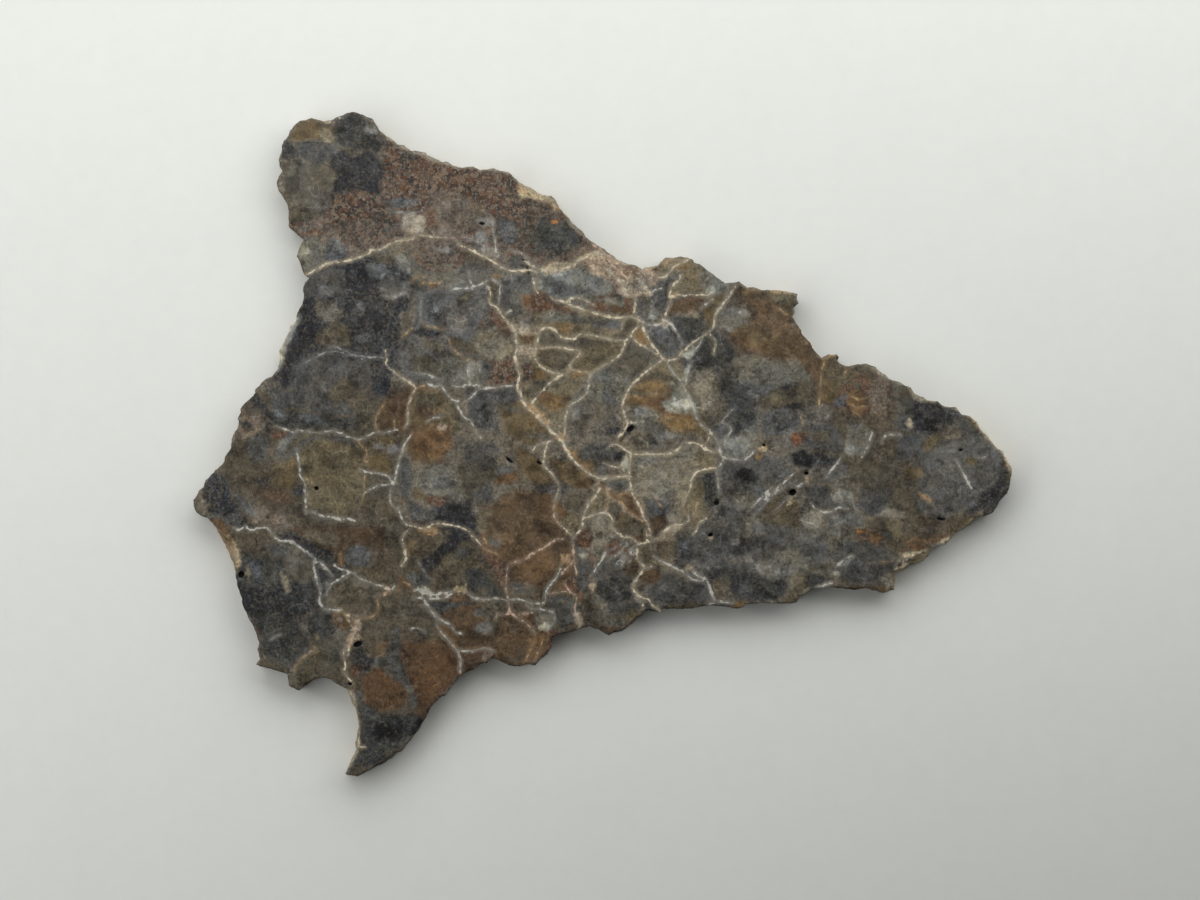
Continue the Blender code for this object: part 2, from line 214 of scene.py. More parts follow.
# Clasts and spots, painted over the areas in this order.
CLASTS = """
ash .15 -24,17.2 -24.2,20 -23.5,22.5 -22,24.3 -18.5,24.9 -16,23.5 -16,21 -16.5,17.5 -20,16.5
graphite .12 -23.7,22.4 -22.6,22 -22.4,21 -23.5,20.8
slate .15 -22.3,22.1 -19.6,22.6 -19.4,21.2 -20.8,20.6 -22.4,21.2
umber .15 -23.6,21 -22.4,20.7 -22,20 -23.4,19.9
drab .1 -22.6,20.5 -21.3,20.6 -19.7,20.5 -19.3,19.6 -19.6,18.4 -20.5,17.6 -22,17.3 -22.9,18 -23.5,19.2
 -22.9,20.2
ink .12 -19.8,21.2 -18.8,21.5 -18.2,20.9 -17.3,21.5 -16.6,21.2 -16,20.2 -16.1,18.5 -15.7,17.6 -17,18.2
 -18.4,18.6 -19.9,17.2 -19.7,18.8 -19.4,19.8 -19.9,20.3
mud .15 -19.2,22.2 -18.2,22.2 -18,21.3 -18.9,21.2
ink .15 -17.9,22.1 -16.7,22.5 -16,22 -16.5,21.3 -17.3,21.6
iron .15 -18.9,24.1 -17.8,24.4 -17.6,23.6 -18.6,23.2
brown_sand .15 -19.5,18.2 -18,18.7 -16.4,18.2 -15.6,17.4 -15.2,16.8 -17,16 -20.5,15.6 -22.5,15 -23,16
 -22,16.9 -20,17.2
rust_sand .12 -19.4,18 -18.2,18.4 -16.8,17.9 -15.8,17.3 -17,16.6 -19.2,16.2 -20.4,16.6
mud .1 -22.9,17.2 -21.2,17.2 -20.4,16.8 -21.4,16.3 -22.8,16.4
rust .1 -22.2,15.3 -20.6,15.9 -20.2,15.5 -21.6,15.1
lead .12 -22.4,14.5 -21.9,13.2 -21.9,12.4 -21,12.6 -20.2,13.3 -20.1,14.3 -20.8,15.2 -21.8,15.2
steel .12 -20.2,13.3 -18.5,13.7 -18.2,14.3 -19,14.8 -20,15.2 -20.3,14.3
brown_sand .12 -18.4,13.8 -16,14.4 -14.5,15 -14,15.4 -17,15.9 -19.5,15.7
dark_sand .12 -17.4,16.4 -15.6,16.9 -14.8,16.2 -15.8,15.4 -17.6,15.6
rust .15 oval -13.3,20.5 .7,.35 -20
rust .15 oval -15.4,20.9 .5,.3 30
rust .15 oval -10,19.4 .9,.3 -10
dark_sand .15 -14.6,21.6 -13.4,21.3 -13.6,20.6 -14.8,20.8
steel .15 oval -14.7,17.7 1.2,.45 5
beige .2 oval -13.8,16.2 .9,.8 10
sand .25 -12.6,18.6 -10,18.2 -8.2,17.2 -8.6,15.6 -12,15.4 -12.8,16.6
rust .15 oval -12.4,16.6 .25,.7 5
dark_sand .2 -7,18.8 -4.5,18.4 -1.2,14.9 -2.6,13.7 -4.5,13.4 -5.5,14 -6.5,14.8 -8,15 -8,16.5 -7,17.3
graphite .2 -4.5,16.6 -2.6,16.2 -1.6,14.9 -2.6,14 -4.6,14.2 -5.3,15.4
rust_sand .15 -7.4,18.2 -5.8,18 -5.4,17 -6.8,16.4 -7.6,17
fog .15 oval -8.6,16.3 .8,.35 0
steel .15 oval -7,15.6 .7,.9 20
fog .15 oval -8.5,14.1 1.2,.4 -20
fog .1 oval -8.8,15.1 .5,.5 0
slate .15 -22,12 -20,13.1 -18.7,13.3 -18.3,12 -19,11 -20.5,10.6 -21.9,10.8
steel .15 oval -20.3,11.2 .5,.5 0
ink .12 -18.8,13 -17.6,13.3 -16.5,12.4 -16.4,11.6 -17.7,11.2 -18.8,11.4
umber .12 -16.9,14.1 -15.3,14 -15,13.3 -16.3,13
steel .1 -17.3,13.2 -16,13.2 -15.4,12.4 -16,12 -17,12.3
pearl .12 -15.1,13.9 -14.4,13.9 -14,13.1 -14.2,12.5 -14.8,12.9
iron .1 -16.4,11.3 -15.4,10.9 -14.4,11 -14,11.9 -15.5,12.2 -16.3,11.9
ash .15 -21,10.6 -19.6,10.4 -18.9,9.6 -19.4,8.9 -20.8,9.3
soot .12 -22.3,10.8 -21.4,10.6 -20.9,9.2 -20.8,8 -21.6,7.4 -22.2,6.2 -22.4,5 -23.2,4 -24.1,4.6 -23.3,7.8
mud .15 -21,7.9 -19.6,9.1 -18.6,8.6 -18.3,7.2 -19.5,7 -21,7.3
ink .12 -17.3,9.8 -16.2,9.6 -15.2,8.6 -15.6,7.8 -16.8,8.4 -17.6,8.9
steel .12 oval -17.5,7.8 .6,.35 20
steel .1 oval -17.6,10.1 .3,.4 0
ash .12 -15,9.6 -14,9.8 -13.6,9 -14.6,8.4
slate .12 -22,6.3 -21,6.7 -20,6.8 -18.8,6.4 -17.2,6.1 -16.9,5.3 -17.3,4.2 -18.7,3.4 -21.5,3.4 -22.9,4.2
 -22.6,5.4
mud .15 oval -18.8,4.2 1,.6 10
ink .12 -16.9,4.9 -15.7,5 -15.4,4.2 -15.7,3.6 -16.7,3.6 -17,4.2
brown_sand .15 -14,15 -12,15 -9.4,13.7 -10.5,12.9 -12,12.5 -13.3,13 -14,13.8
lead .15 -13.8,12.9 -12.5,12.3 -10.5,12.8 -9.9,12.6 -9.9,11.8 -11,11.3 -13,11.6 -14,12
fog .08 -12.3,14.4 -11,14.3 -11.2,14 -12.2,14.1
rust .08 oval -12.45,11.6 .3,.24 0
slate_blue .12 -13.3,11 -10.5,10.9 -9,11.3 -8.6,10.3 -9,9.6 -10.5,9.6 -12,9.2 -13,8.7 -13.3,9.2
charcoal .15 oval -12.3,9.4 .6,.25 10
olive .12 oval -9.7,10.9 .9,.3 30
lavender .15 oval -10.4,8.7 .8,.6 30
charcoal .1 -13.2,8.7 -12.3,8.2 -11.6,8.2 -12.8,7.6 -13.9,8.2
ash .1 -13.4,7.9 -11.8,7.8 -11.4,7 -12.3,6.5 -13.3,7.2
umber .12 -11.3,8 -10.3,7.7 -9,7.2 -9.6,6.4 -10.5,6.9 -11.2,7.4
mud .12 -13.9,6.6 -12.5,6.4 -11.8,5.6 -12.2,5 -13.9,5.2
iron .1 -9,6.1 -8.2,6.2 -8,5.4 -8.4,4.6 -9,4.5
slate .08 oval -8.5,5.8 .35,.25 0
khaki .15 -9.2,7.6 -6.8,8 -6.5,6.8 -7.5,6.2 -9,6.3
rust .12 -8.2,9.9 -6.9,8.9 -6.5,8.2 -7.2,8 -8,8.8
rust_sand .12 -8.1,6.2 -6.6,6.2 -6.2,5 -6.3,4.4 -7.8,4.3 -8.1,5
rust_sand .1 -6,5.8 -5.2,5.9 -5,5 -5.6,4.4 -6,4.5
iron .1 -9.3,11.8 -8.6,11.6 -8.2,10.4 -8.6,9.4 -9.9,9.3 -9.6,10.8
olive .08 -8.3,12.1 -7.9,11.9 -7.6,11.4 -7.7,10.2 -8.2,10.1 -8.4,10.9
iron .08 -7.4,11.6 -6.3,12.4 -5.3,12.5 -5,11.6 -5.2,11 -6,10.9 -6,10 -5.6,9.5 -6.6,9.4 -7.2,9.9
slate .08 -6.9,13.6 -5.9,13.9 -5.6,13 -5.9,12.9 -6.6,12.9
black .06 -5.9,13.3 -5.6,12.7 -5.2,12.1 -5.5,12.9
gold .1 -8,12.4 -7.4,12.5 -7.5,12.1 -8,12.1
rust .1 -6,10.8 -5.2,11 -4.8,11.3 -4.2,11.2 -3.8,10.5 -2.5,9.9 -1.9,9.4 -2.4,9.4 -3.6,9.8 -4.4,9.7 -5.6,10
 -5.9,10.2
cinnamon .1 oval -5.6,10.6 .4,.28 -20
pearl .08 -4.5,12.5 -3.6,12.4 -2.9,12.9 -1.5,12.8 -1.1,11.3 -2,10.8 -3.2,10.6 -4,10.9 -4.7,11.6
cream .06 -4.5,12.7 -4.1,12.3 -3.9,12.7 -3.5,12.2 -3.3,12.9 -3.1,12.6 -2.8,12.9 -2.5,12.6 -2.3,13 -2,12.9
 -1.9,13.3 -3,13.4 -4,13.1
khaki .12 -5.2,9.6 -1.8,9.2 -1.6,8.8 -3,8.9 -4.6,8.7
chestnut .12 -6.2,8.4 -5.2,8.4 -4.9,7.8 -5.3,7.3 -6,7.5 -6.3,8
beige .15 -6.1,7.2 -4.9,7.2 -4.8,6.1 -5.4,5.9 -6.2,6.2
gold .12 -3.7,9.2 -2.5,8.9 -1.5,8.4 -2.2,7.9 -3.6,8.5
drab .1 -4.6,8.4 -3.6,8.3 -2.4,7.7 -2,7.1 -3.6,7.2 -4.7,7.2
olive .08 -4.6,6.9 -3.5,7 -2.4,6.9 -1.9,6.6 -2.8,5.3 -3.8,5.4 -4.5,5.9 -4.9,6.4
gold .1 -4.6,5.5 -3.9,5.2 -3.9,4.9 -4.8,4.7 -5.3,4.9 -5,5.3
mud .1 -5,4.6 -3.8,4.7 -2.9,4.9 -3.6,4.3 -4.2,3.9 -4.6,3.4 -5.4,3.4 -5.8,4
blush .15 -1.2,14 -.2,14.5 1,13.8 3,13.1 4,13 4,12 3.6,11 2.4,10.7 1.3,11.2 .9,11.9 -.6,13.1 -1.6,13.3
cream .1 -1.9,13.2 -.9,13.7 -.1,13.8 -.1,14.4 -.4,14.3 -1.9,13.5
rust .08 oval .5,13.5 .3,.2 -30
rust .08 oval 2,12.9 .6,.15 -20
rust .08 oval 1,12.9 .2,.3 20
rust .08 oval 1.7,12.3 .2,.2 0
beige .12 1.8,12 3.2,12.1 3.5,11.3 3.2,10.8 2.2,10.9 1.5,11.3
wine .06 3.5,12.9 4.1,13.1 4.1,12.7 3.7,12.7
rust .1 -.6,11.2 .2,11.1 .8,11.7 1.2,11.7 1.3,11.3 0,10.6 -.7,10.9
slate .08 .9,11.2 1.5,11 2.1,10.7 1.4,10.5 .6,10.7
rust .08 1.6,10.7 2.3,10.6 2.2,10 1.7,10
ash .08 -2.4,10.5 -1.9,10.7 -1.2,10.4 -.8,10 -1.3,9.8 -2.2,10.2
rust .12 -.9,10.4 .2,10.3 .7,10 .1,9.7 -.9,9.8
chestnut .12 .6,10.2 2.2,10 2.2,9.5 .6,9.6
lead .12 -4,9.9 -1.2,9.3 1.5,9.1 1.6,8.5 .4,8.8 -4.8,9
iron .12 -.8,8.9 1.2,9 1.5,8.6 .2,8.3 -.8,8.5
khaki .1 -3.3,8.9 -2,8.5 1.4,8.4 1.8,8.1 .3,8 -1.2,8.1 -2.2,7.9 -3.5,8.4
gold .1 oval -2.9,8.5 .6,.2 -20
mud .06 1.4,8.5 1.7,9.2 2.4,9.2 2.7,8.9 2.2,8.3 1.8,8.2
gold .08 2.2,8 2.8,8.6 3,8.3 3.4,7.4 3,7.2 2.4,7.6
mud .12 -1.9,8 1.3,7.4 .2,7.2 -1.3,7.1 -2.8,7.4 -2,7.8
moss .1 -2.1,7 -.5,7.2 1.2,7.2 1.6,6.9 -.6,5.2 -2.2,5.6
drab .1 1.9,7.6 2.7,7.3 3.7,6.7 4.1,6.3 2.5,5.2 1,4.9 -.3,5 1.1,6.2 1.6,6.8
gold .1 -2.4,5.4 -1,5.3 -.9,4.9 -2.2,4.9
iron .08 2.6,10.3 3.3,10.4 3,9.7 2.7,9.2 2.5,9.5
slate .08 4.1,10.9 4.8,10.9 4.9,10.3 4.6,9.6 4.1,9.9 3.4,10.8
pearl .08 3.5,10.4 3.8,10.2 4,9.3 3.4,9.1 3.2,9.3
slate .12 3.4,11.4 4.8,12.2 5.2,11.8 4.8,10.9 3.6,10.8
slate .12 4.8,9.4 5.6,9.5 7,9.3 7.5,8.5 7,7.7 6,6.9
graphite .06 4.9,8.7 5.5,8 5.8,7.2 5.6,7.1 5.3,7.9 4.7,8.6
khaki .15 4,12.8 4.4,13.4 5.2,13.9 6.2,13.8 8.6,11.9 7.6,11.2 5.1,10.8 5,11.6 5.8,12.2 5.6,12.7 5,12.3
 4.2,12.2
gold .1 oval 5.7,13 .5,.2 -10
tan .08 4.3,13.3 5.2,13.8 5.8,13.8 5,13.4 4.4,12.9
tan .08 4.9,11.3 5.6,10.9 5.1,10.6
copper .15 5.3,10.5 6.8,11 7.4,10.8 7.9,10.3 7,9.7 5.6,9.7 4.8,9.3 4.9,9.8
lead .12 7,12.9 8.5,12 9.2,11.7 8.8,11.2 8,11 7.4,11.2
pale .08 oval 7.9,11.3 .35,.2 30
ochre .12 7.9,10.9 9.2,11.3 8.3,9.9 8.2,8.9 7.9,8.3 7.5,8.9 7.3,9.9
slate .1 7.2,9.8 7.6,9.2 7.4,8.6 6.9,8.9
copper .2 oval 10,7.9 1.1,.35 10
ochre .2 oval 11,11.2 .8,.3 -10
moss .1 12,11.4 14.4,11.3 14.5,10.4 14.2,9.6 13.5,9.5 12.8,9.9 12.6,10.6
tan .08 11.6,11.7 12.8,11.4 14.3,11.3 14,11.1 12.6,11.1
lavender .2 8.6,9.6 9.4,9.9 10.4,10 10.9,9.6 10.3,9.3 10,8.8 9.6,8.4 8.8,8.4 8.4,8.7
charcoal .12 6.6,6.1 7.5,6.3 7.4,5.5 6.8,5.4
pale .08 5.7,6.6 6.5,7 7.1,7.6 7.2,7.1 6.6,6.5 6.2,6.2
pale .06 6.2,5.8 6.5,5.9 6.2,5 6.1,4.4 5.8,4.7
ash .12 6.3,5.3 7,5.4 8.2,4.5 8.6,3.6 8.4,2.8 7,3 6.6,4 6.2,4.6
iron .1 6.6,4.1 7.2,3.6 7,2.8 6.7,2.6
charcoal .08 8.2,4.2 9,4.1 8.8,3.7 8.3,3.8
lead .12 9.4,6.2 10.4,6.5 13,6.4 14.4,6.2 15.2,5.4 15.3,4 14,4.4 12.5,4.4 11.4,4.2 9.8,5.2
drab .2 oval 10,6 .6,.4 0
graphite .08 oval 11.7,4.5 .28,.15 20
ink .08 oval 13.4,4.2 .35,.15 10
copper .1 14.2,6.6 15.7,6.3 15.9,5 15.7,3.4 15.2,3.4 15.3,5 14.6,5.8
moss .12 12.4,4 13.2,3.6 12.9,2.8 12.3,3
ink .12 13.2,3 14.8,3 14.6,2.5 13,2.5
olive .12 16.2,6 17,6.5 17.5,6.1 18.6,5.6 18.3,4.4 16.4,4.2
tan .06 16.1,6.1 16.8,6.8 17.3,6.6
ash .12 -25.3,3.9 -24.6,4.8 -23.6,4.6 -23.5,3.9 -24.4,3.6
slate .12 -24.3,4 -18.7,3.4 -18.2,2.3 -20,2.2 -22,2.6 -24.2,2.8
mud .2 oval -19.3,3.6 .9,.5 0
graphite .15 -24.3,2.6 -22,2.4 -20,2 -18,2 -17.8,1.1 -23,1.2 -24.4,1.6
steel .15 oval -23.7,2.3 .5,.4 -30
steel .15 oval -21.5,1.9 .9,.25 0
sand .12 -26.7,1.8 -25.6,2.3 -24.8,2.2 -24.6,1 -25.2,.8 -26.2,.2 -26.9,.6
slate .1 oval -26,1.4 .4,.3 -20
charcoal .08 -25.6,3.7 -25.1,3.5 -24.4,2.4 -24.3,.2 -24.6,.3 -24.7,2.2 -25.5,3.1
brown_sand .12 -26.9,2.7 -25.9,3.2 -26,2.4 -26.6,1.7 -26.8,.7 -27.2,0 -27.6,-1.1 -28.3,-2 -28.1,-.9
 -27.4,.5
rust .12 -24.2,1 -23.1,1 -23.1,.5 -24.1,.4
iron .12 -23.9,-1 -23.2,-.6 -22.6,.3 -22.1,.9 -22.9,.9 -23.7,.1
pearl .12 oval -23.3,0 .4,.3 40
slate .12 -23.4,-.9 -22,.3 -21,.6 -19.5,.6 -18.2,.4 -18,-.1 -20,.4 -21.5,.2 -22.3,-.7 -23.2,-1.2
slate .15 -26,.3 -25,.8 -24.6,.2 -24.5,-1 -25,-1.4 -25.9,-.8
charcoal .12 -29.3,-3 -28.4,-2 -27.8,-2.2 -27.3,-3 -27.2,-4 -26.5,-5 -25.6,-5.9 -24.9,-6.1 -26.2,-6.3
 -27.3,-5.6 -28.3,-5.2 -29,-4.4
iron .1 -28.6,-5 -27.6,-5.2 -27.2,-5.8 -27.9,-5.9
umber .15 -26,-3.2 -22.7,-2.5 -21.8,-3 -21.7,-4.7 -22.6,-5.2 -23.6,-4.8 -25,-4 -26,-3.7
chestnut .25 oval -23.8,-3.8 1.4,.5 -15
soot .12 oval -22.2,-3.3 .5,.4 -20
soot .15 oval -24.9,-2.6 .7,.2 10
ash .15 -26.6,-3.9 -24.6,-4.6 -23.6,-5.3 -22.6,-5.8 -23.6,-6.4 -24.8,-5.9 -26,-5.2
iron .15 -26.9,-3.8 -26.2,-4 -25.4,-4.9 -25.2,-5.5 -25.9,-5.2 -26.5,-4.6
sand .2 oval -24,-5.4 .6,.5 0
graphite .12 -23.6,-6.5 -22.3,-6.4 -20,-8 -21.4,-7.9 -23.2,-7.2
chestnut .1 -15.6,2.9 -14.2,4.2 -13.9,3.5 -14.2,2.6 -14.3,1.4 -14.7,.8 -15.2,1 -16.4,.8 -16.3,1.8
ochre .1 -13.7,3.9 -12.9,4.2 -12,4 -11.2,3.2 -10.8,2.3 -11,-.2 -11.6,-1 -12.6,-1.3 -13.8,-1 -14.4,0 -14,1
 -14.1,2.4
olive .2 oval -12.7,3.3 1,.6 0
ash .1 oval -12,2.1 .8,.12 15
lavender .12 oval -15.3,-.3 .4,.4 30
lavender .12 oval -16.4,-.1 .4,.2 0
ochre .1 -16.3,.6 -15.5,.5 -15.1,0 -16,.1
ochre .12 -17.2,-1 -16,-.6 -15.4,-1.5 -15.7,-2.2 -17,-1.9
slate .1 -14.7,-.8 -14,-1.4 -13.8,-2.4 -14.6,-4.5 -15,-3
iron .12 oval -11.8,-2.8 .8,.5 0
pearl .08 oval -12,-2.3 .5,.12 20
ochre .1 -13.9,-3.2 -13.2,-3.2 -12.9,-3.9 -13.8,-4
rust .12 -12.9,-3.8 -11.2,-3.9 -11.6,-4.5 -12.8,-4.3
slate .12 -14.4,-4.2 -11.9,-4.8 -12.6,-5.6 -13.8,-5.6
ink .1 -11,-6.2 -9.5,-6.6 -9.9,-7 -10.7,-7.3 -11.4,-8 -12.4,-8 -11.6,-7.2 -11.3,-6.6
tan .1 -13.6,-6.2 -12.3,-6 -11.8,-6.1 -12.2,-6.6 -13.2,-6.6
ochre .12 -14.4,-6.8 -13.6,-7 -13.7,-8 -14.4,-8.3
mud .12 -10.6,-1.6 -9.2,-1.2 -8,-1 -8,-3 -9.2,-3.9 -10.2,-3.6
slate .12 -9.4,-3.4 -8.2,-3 -8,-4 -9.1,-4.4
brown_sand .15 oval -16.5,-7.6 .8,.4 -20
slate .12 -9.9,4 -8.9,4 -6.4,4.3 -6,3.5 -6.3,3.1 -7.6,2.9 -8.2,2.2 -7.8,1.2 -8.6,.9 -9.6,1.6
black .06 oval -8.7,2.8 .2,.2 0
black .06 oval -8.45,1.8 .12,.35 40
slate .12 -10,0 -8,.2 -7.4,-.4 -7.9,-1.4 -8.6,-1.8 -10,-1
iron .1 oval -8.3,-.7 .5,.3 -30
ochre .15 -7.6,2.9 -6,3.1 -3.7,.9 -4.3,.4 -5.3,0 -6.4,.4 -7.2,1.1 -7.3,2
drab .2 oval -6.6,2.6 .9,.3 -10
drab .2 oval -4.9,.6 1,.25 0
cinnamon .12 -7.9,-2.4 -6.9,-2.1 -6.2,-2 -6.1,-2.6 -6.9,-3 -7.8,-2.9
ochre .15 -6.4,-.2 -5.3,-.5 -4.7,-1.2 -3.6,-2.7 -4.2,-3 -5.2,-2.6 -6.2,-1.9 -6.4,-1
iron .12 -7.9,-1.3 -6.9,-1.6 -6.6,-2 -7.5,-2.2
slate .12 -4.8,-2.9 -2.6,-2.9 -2.5,-3.5 -3.6,-3.6 -4.8,-3.5
copper .12 -3.7,-1 -2.8,-1.3 -2,-1.3 -1.3,-2 -.6,-2.3 -.5,-2.9 -1.1,-3.2 -2.2,-3.1 -3.2,-2.4 -3.8,-1.8
cinnamon .12 oval -1.5,-2.8 .5,.3 10
slate .08 oval -2.8,-1.2 .5,.12 -20
mud .12 -2.3,-3.6 -1.4,-3.5 -1.1,-4 -1.9,-4.8 -2.8,-4.6 -2.7,-4
khaki .12 -9.1,-6.4 -9.1,-5.4 -8.5,-4.8 -8,-4.8 -8.5,-6.4
mud .12 oval -7.9,-6.9 .65,.6 0
cinnamon .2 oval -5.4,-4.4 1.3,.4 5
chestnut .2 oval -5.4,-6.6 1.6,.5 0
cinnamon .1 -3.4,-4 -2.6,-4.8 -2.6,-5.2 -3.1,-5.4 -3.5,-4.9
khaki .1 -3,-5.5 -2.3,-5 -1.6,-5.4 -1.7,-6.2 -2.2,-6.9 -2.6,-6.3
cinnamon .15 oval -3.8,3.2 .9,.5 -20
tan .1 -5.7,3.1 -5,2.8 -4.2,2.2 -3.6,1.4 -3.9,1.2 -5.3,2.4
tan .1 -3.1,1 -2.4,.6 -2.7,.3 -3.4,.4
ash .15 -2.6,2.5 -1.4,3.2 0,2.9 1.4,2.8 1.6,1.4 1,.3 0,-.5 -1.5,-1 -2.4,0 -2.7,1
graphite .08 oval .8,2 .25,.2 0
slate_blue .1 0,3.9 1.2,3.2 .9,2.6 0,3.2
moss .12 -.5,3.9 .1,4.3 -.2,4.9 -.9,4.6
charcoal .08 .5,1.4 1.5,1.3 1.2,.6 .4,.8
slate .15 -1.4,0 .4,0 1,-.3 .7,-1.4 0,-1.6 -1,-1.7 -1.6,-1
iron .1 oval -.6,-.6 .8,.12 25
gold .08 -2.9,.1 -2.3,-.3 -.6,-2 -.9,-2.1 -1.9,-1.2 -2.8,-.3
ochre .1 oval -.9,-1.4 .4,.25 -30
mud .1 2.2,4.2 3,5 4,5.4 5.4,5 5.9,4.4 3.8,3.8 2.5,3.6 1.7,3
oat .15 3.4,4.4 5,4.7 5.8,4.3 5.2,3.8 4,3.9
cinnamon .15 1.9,3 2.8,3.6 4,3.7 5.2,3.5 5.2,3.2 4.7,2.9 4.6,2.6 5.5,2.3 6.6,2.4 6.9,2.1 6.3,1.6 5.6,1.3
 4.1,2.4 3,2.8
gold .15 oval 2.6,3.3 .8,.25 0
pale .1 4.3,2.9 4.6,2.4 5.2,2.3 6.7,2.6 5.7,4.3 5.2,4 5.1,3.4
lead .12 1.8,2.4 2.6,2.8 3.6,2.5 4.4,2 5,1.5 4.6,.6 3,.7 2.3,1 1.9,1.6
lavender .15 oval 2.8,2.3 .7,.25 -10
ash .12 4.8,1.2 5.9,1.2 7.2,1.5 7.9,.9 8,.2 7.4,-.1 6.6,0 4.6,-.5 2.6,-.5 1.8,0 1.4,.4 2,.9 3,.6
pearl .15 oval 4.7,.7 .8,.3 0
graphite .1 oval 3.6,.3 .25,.42 20
umber .12 oval 2.4,.3 .5,.18 -20
khaki .12 oval 7.3,.9 .5,.5 0
oat .1 2.2,-.8 4.4,-.8 5.6,-.4 6.4,.1 6.9,0 7.1,-.4 7,-1.8 6.7,-2.2 6.3,-3.6 5.9,-4.3 6,-5 5.9,-5.7
 4.8,-5.7 4.4,-4.6 3.4,-3.9 2.5,-3.8 2.2,-3
lead .2 oval 3.2,-1.2 .9,.3 0
lead .1 oval 5.5,-.9 .9,.08 5
ash .15 oval 5,-4.2 .6,.9 10
khaki .1 6.8,-2.4 7.3,-2.6 7.4,-3.6 7.7,-4.8 7.6,-5.3 6.9,-5.4 6.5,-5 6.1,-4.3
graphite .1 7.5,-2 8.3,-1.9 8.4,-3 8.6,-3.8 8,-4.6 7.7,-4.6 7.4,-3.2
slate_blue .12 3,-3.9 4.6,-4.2 5,-4.6 4.4,-5.4 3.4,-5.7 3.2,-5
slate .1 oval 3.6,-5.1 .35,.25 0
copper .08 .5,-3.5 1.4,-4.3 1.8,-4.8 2.5,-5.2 3,-5.4 2.9,-4.6 2.1,-3.4 1.3,-3.6
tan .1 oval 1.2,-3.8 .6,.2 -20
mud .1 .4,-4.2 1,-4.2 1.6,-4.9 2.6,-5.4 3,-5.8 2.7,-6.4 1.9,-6.5 1,-6.2 .8,-5.5 .4,-5
chestnut .1 1.8,-6.7 3.3,-6.3 3.5,-7 2.9,-7.2 2,-6.9
iron .1 .3,-2.6 1.6,-2.5 2,-2.6 2.1,-3.2 1.2,-3.4 .4,-3.2
copper .08 oval .1,-3 .2,.3 0
khaki .1 -.5,-3.3 .3,-3.4 .4,-4.2 .1,-4.9 -1,-5 -.9,-4.3
oat .08 oval 0,-5.8 .85,.62 0
pale .08 1.4,-.8 1.9,-1 2,-1.9 1.5,-2.1 1.3,-1.6
soot .08 .9,-.5 1.8,-.5 1.3,-1.4 .9,-1.3
lead .1 -.1,-1.5 .8,-1.5 1,-1.9 0,-2 -.5,-1.8
slate_blue .06 8.2,1 8.6,1.5 9.1,1.3 9.2,.8 8.7,.4
pearl .1 8.9,.2 9.6,.6 10.6,.6 11,0 10.4,-.8 9.6,-.9 8.9,-.8
slate .12 8.8,-1.1 10,-1.2 9.8,-1.9 10.2,-2.9 9.6,-3.6 9,-3.7 8.6,-2.4 8.6,-1.6
charcoal .1 9.9,-1.9 10.5,-1.6 11,-1.8 11.1,-2.6 10.5,-2.8 10,-2.5
slate .15 8.5,-4.6 9.6,-4.5 10.5,-5 10.5,-8 5.6,-8 5.5,-7 6.4,-6.6 7,-5.8 7.9,-5.5
ash .12 oval 8.9,-5.7 .5,.3 20
slate .12 9,4.5 10.4,4.7 11.4,4 11.2,2.8 11.4,1.8 10.6,1 9.4,1 9.1,2.5
steel .1 12,2.2 13,2.6 13.8,2.6 14.3,2 14.2,1.2 13.4,.8 12.4,.6 11.8,1.1 11.8,1.7
lavender .1 oval 12.2,1 .5,.3 -20
mud .12 14.2,4.6 15.5,4.7 15.8,3 15.5,2.2 14.8,2.6 14.2,3.4
ochre .12 16,4.9 17.2,4.8 17.4,3.8 16.6,3 16,3.2
ash .12 15.3,3 16.6,2.8 16.4,1.9 15.2,2
steel .12 16.8,3.4 17.8,3.6 17.8,2.8 17,2.7
slate .12 14.9,1.4 17,1.5 17.4,.6 17.6,-.4 16.2,-.5 15,-.2 14.8,.6
mud .15 oval 16,.6 .7,.5 0
lead .12 18,1.5 19,1.7 19.7,1 19.4,0 18.9,-.9 18.1,-.9 17.7,0
pearl .15 oval 18.2,-.4 .5,.4 0
umber .1 17.9,4.6 18.8,4.7 19,4 18.4,3.9
rust .06 14.4,.9 14.9,.9 15,.5 14.7,0 14.2,-.1 13.8,.2 14.2,.4
gold .06 oval 11.3,-.8 .28,.22 0
iron .12 11.5,-1 14,-.8 14,-2 12.5,-3 11.2,-2.6
charcoal .08 16.2,-1.2 17.2,-.8 17.3,-1.5 16.5,-1.5
olive .12 13.6,-3.2 14.2,-4 14.6,-5 14.2,-6 13,-6 11.6,-5.6 11.4,-5 12.6,-3.8
iron .12 10.8,-5.6 12.5,-6 14.4,-6.1 13.4,-6.6 11,-6.6
slate .1 15.2,-3.2 16.3,-3 17,-3.6 17.8,-4.6 16.6,-4.9 15.8,-4.7 15.1,-4.2
graphite .06 14.9,-3 15.1,-3.4 15,-4.4 14.7,-5 14.5,-4.9 14.8,-4
iron .08 16.3,-2.6 16.9,-1.6 17.4,-1 17.5,-1.8 17.2,-2.4 16.8,-2.8
slate_blue .1 17.2,-1.4 18,-1.3 17.8,-2.2 17.3,-2.2
pearl .08 16.7,-3.6 17.6,-3.3 18.4,-3.4 18.4,-4.3 17.8,-4.5 17,-4.1
pale .05 14.7,-5 15.3,-4.7 16,-5 16.1,-5.6 15.6,-6 14.9,-5.9 14.5,-5.4
mud .12 18,-1.6 21,-1.2 21.2,-3 19.5,-3.4 18.3,-2.9
slate .12 18.8,-3.2 21,-3.4 20.8,-5 19.4,-5.2 18.7,-4.6
iron .12 16.2,-5 18.6,-4.9 19.4,-5.5 19,-6 17,-6 16.3,-5.6
pearl .1 oval 17.3,-5.5 .5,.25 -20
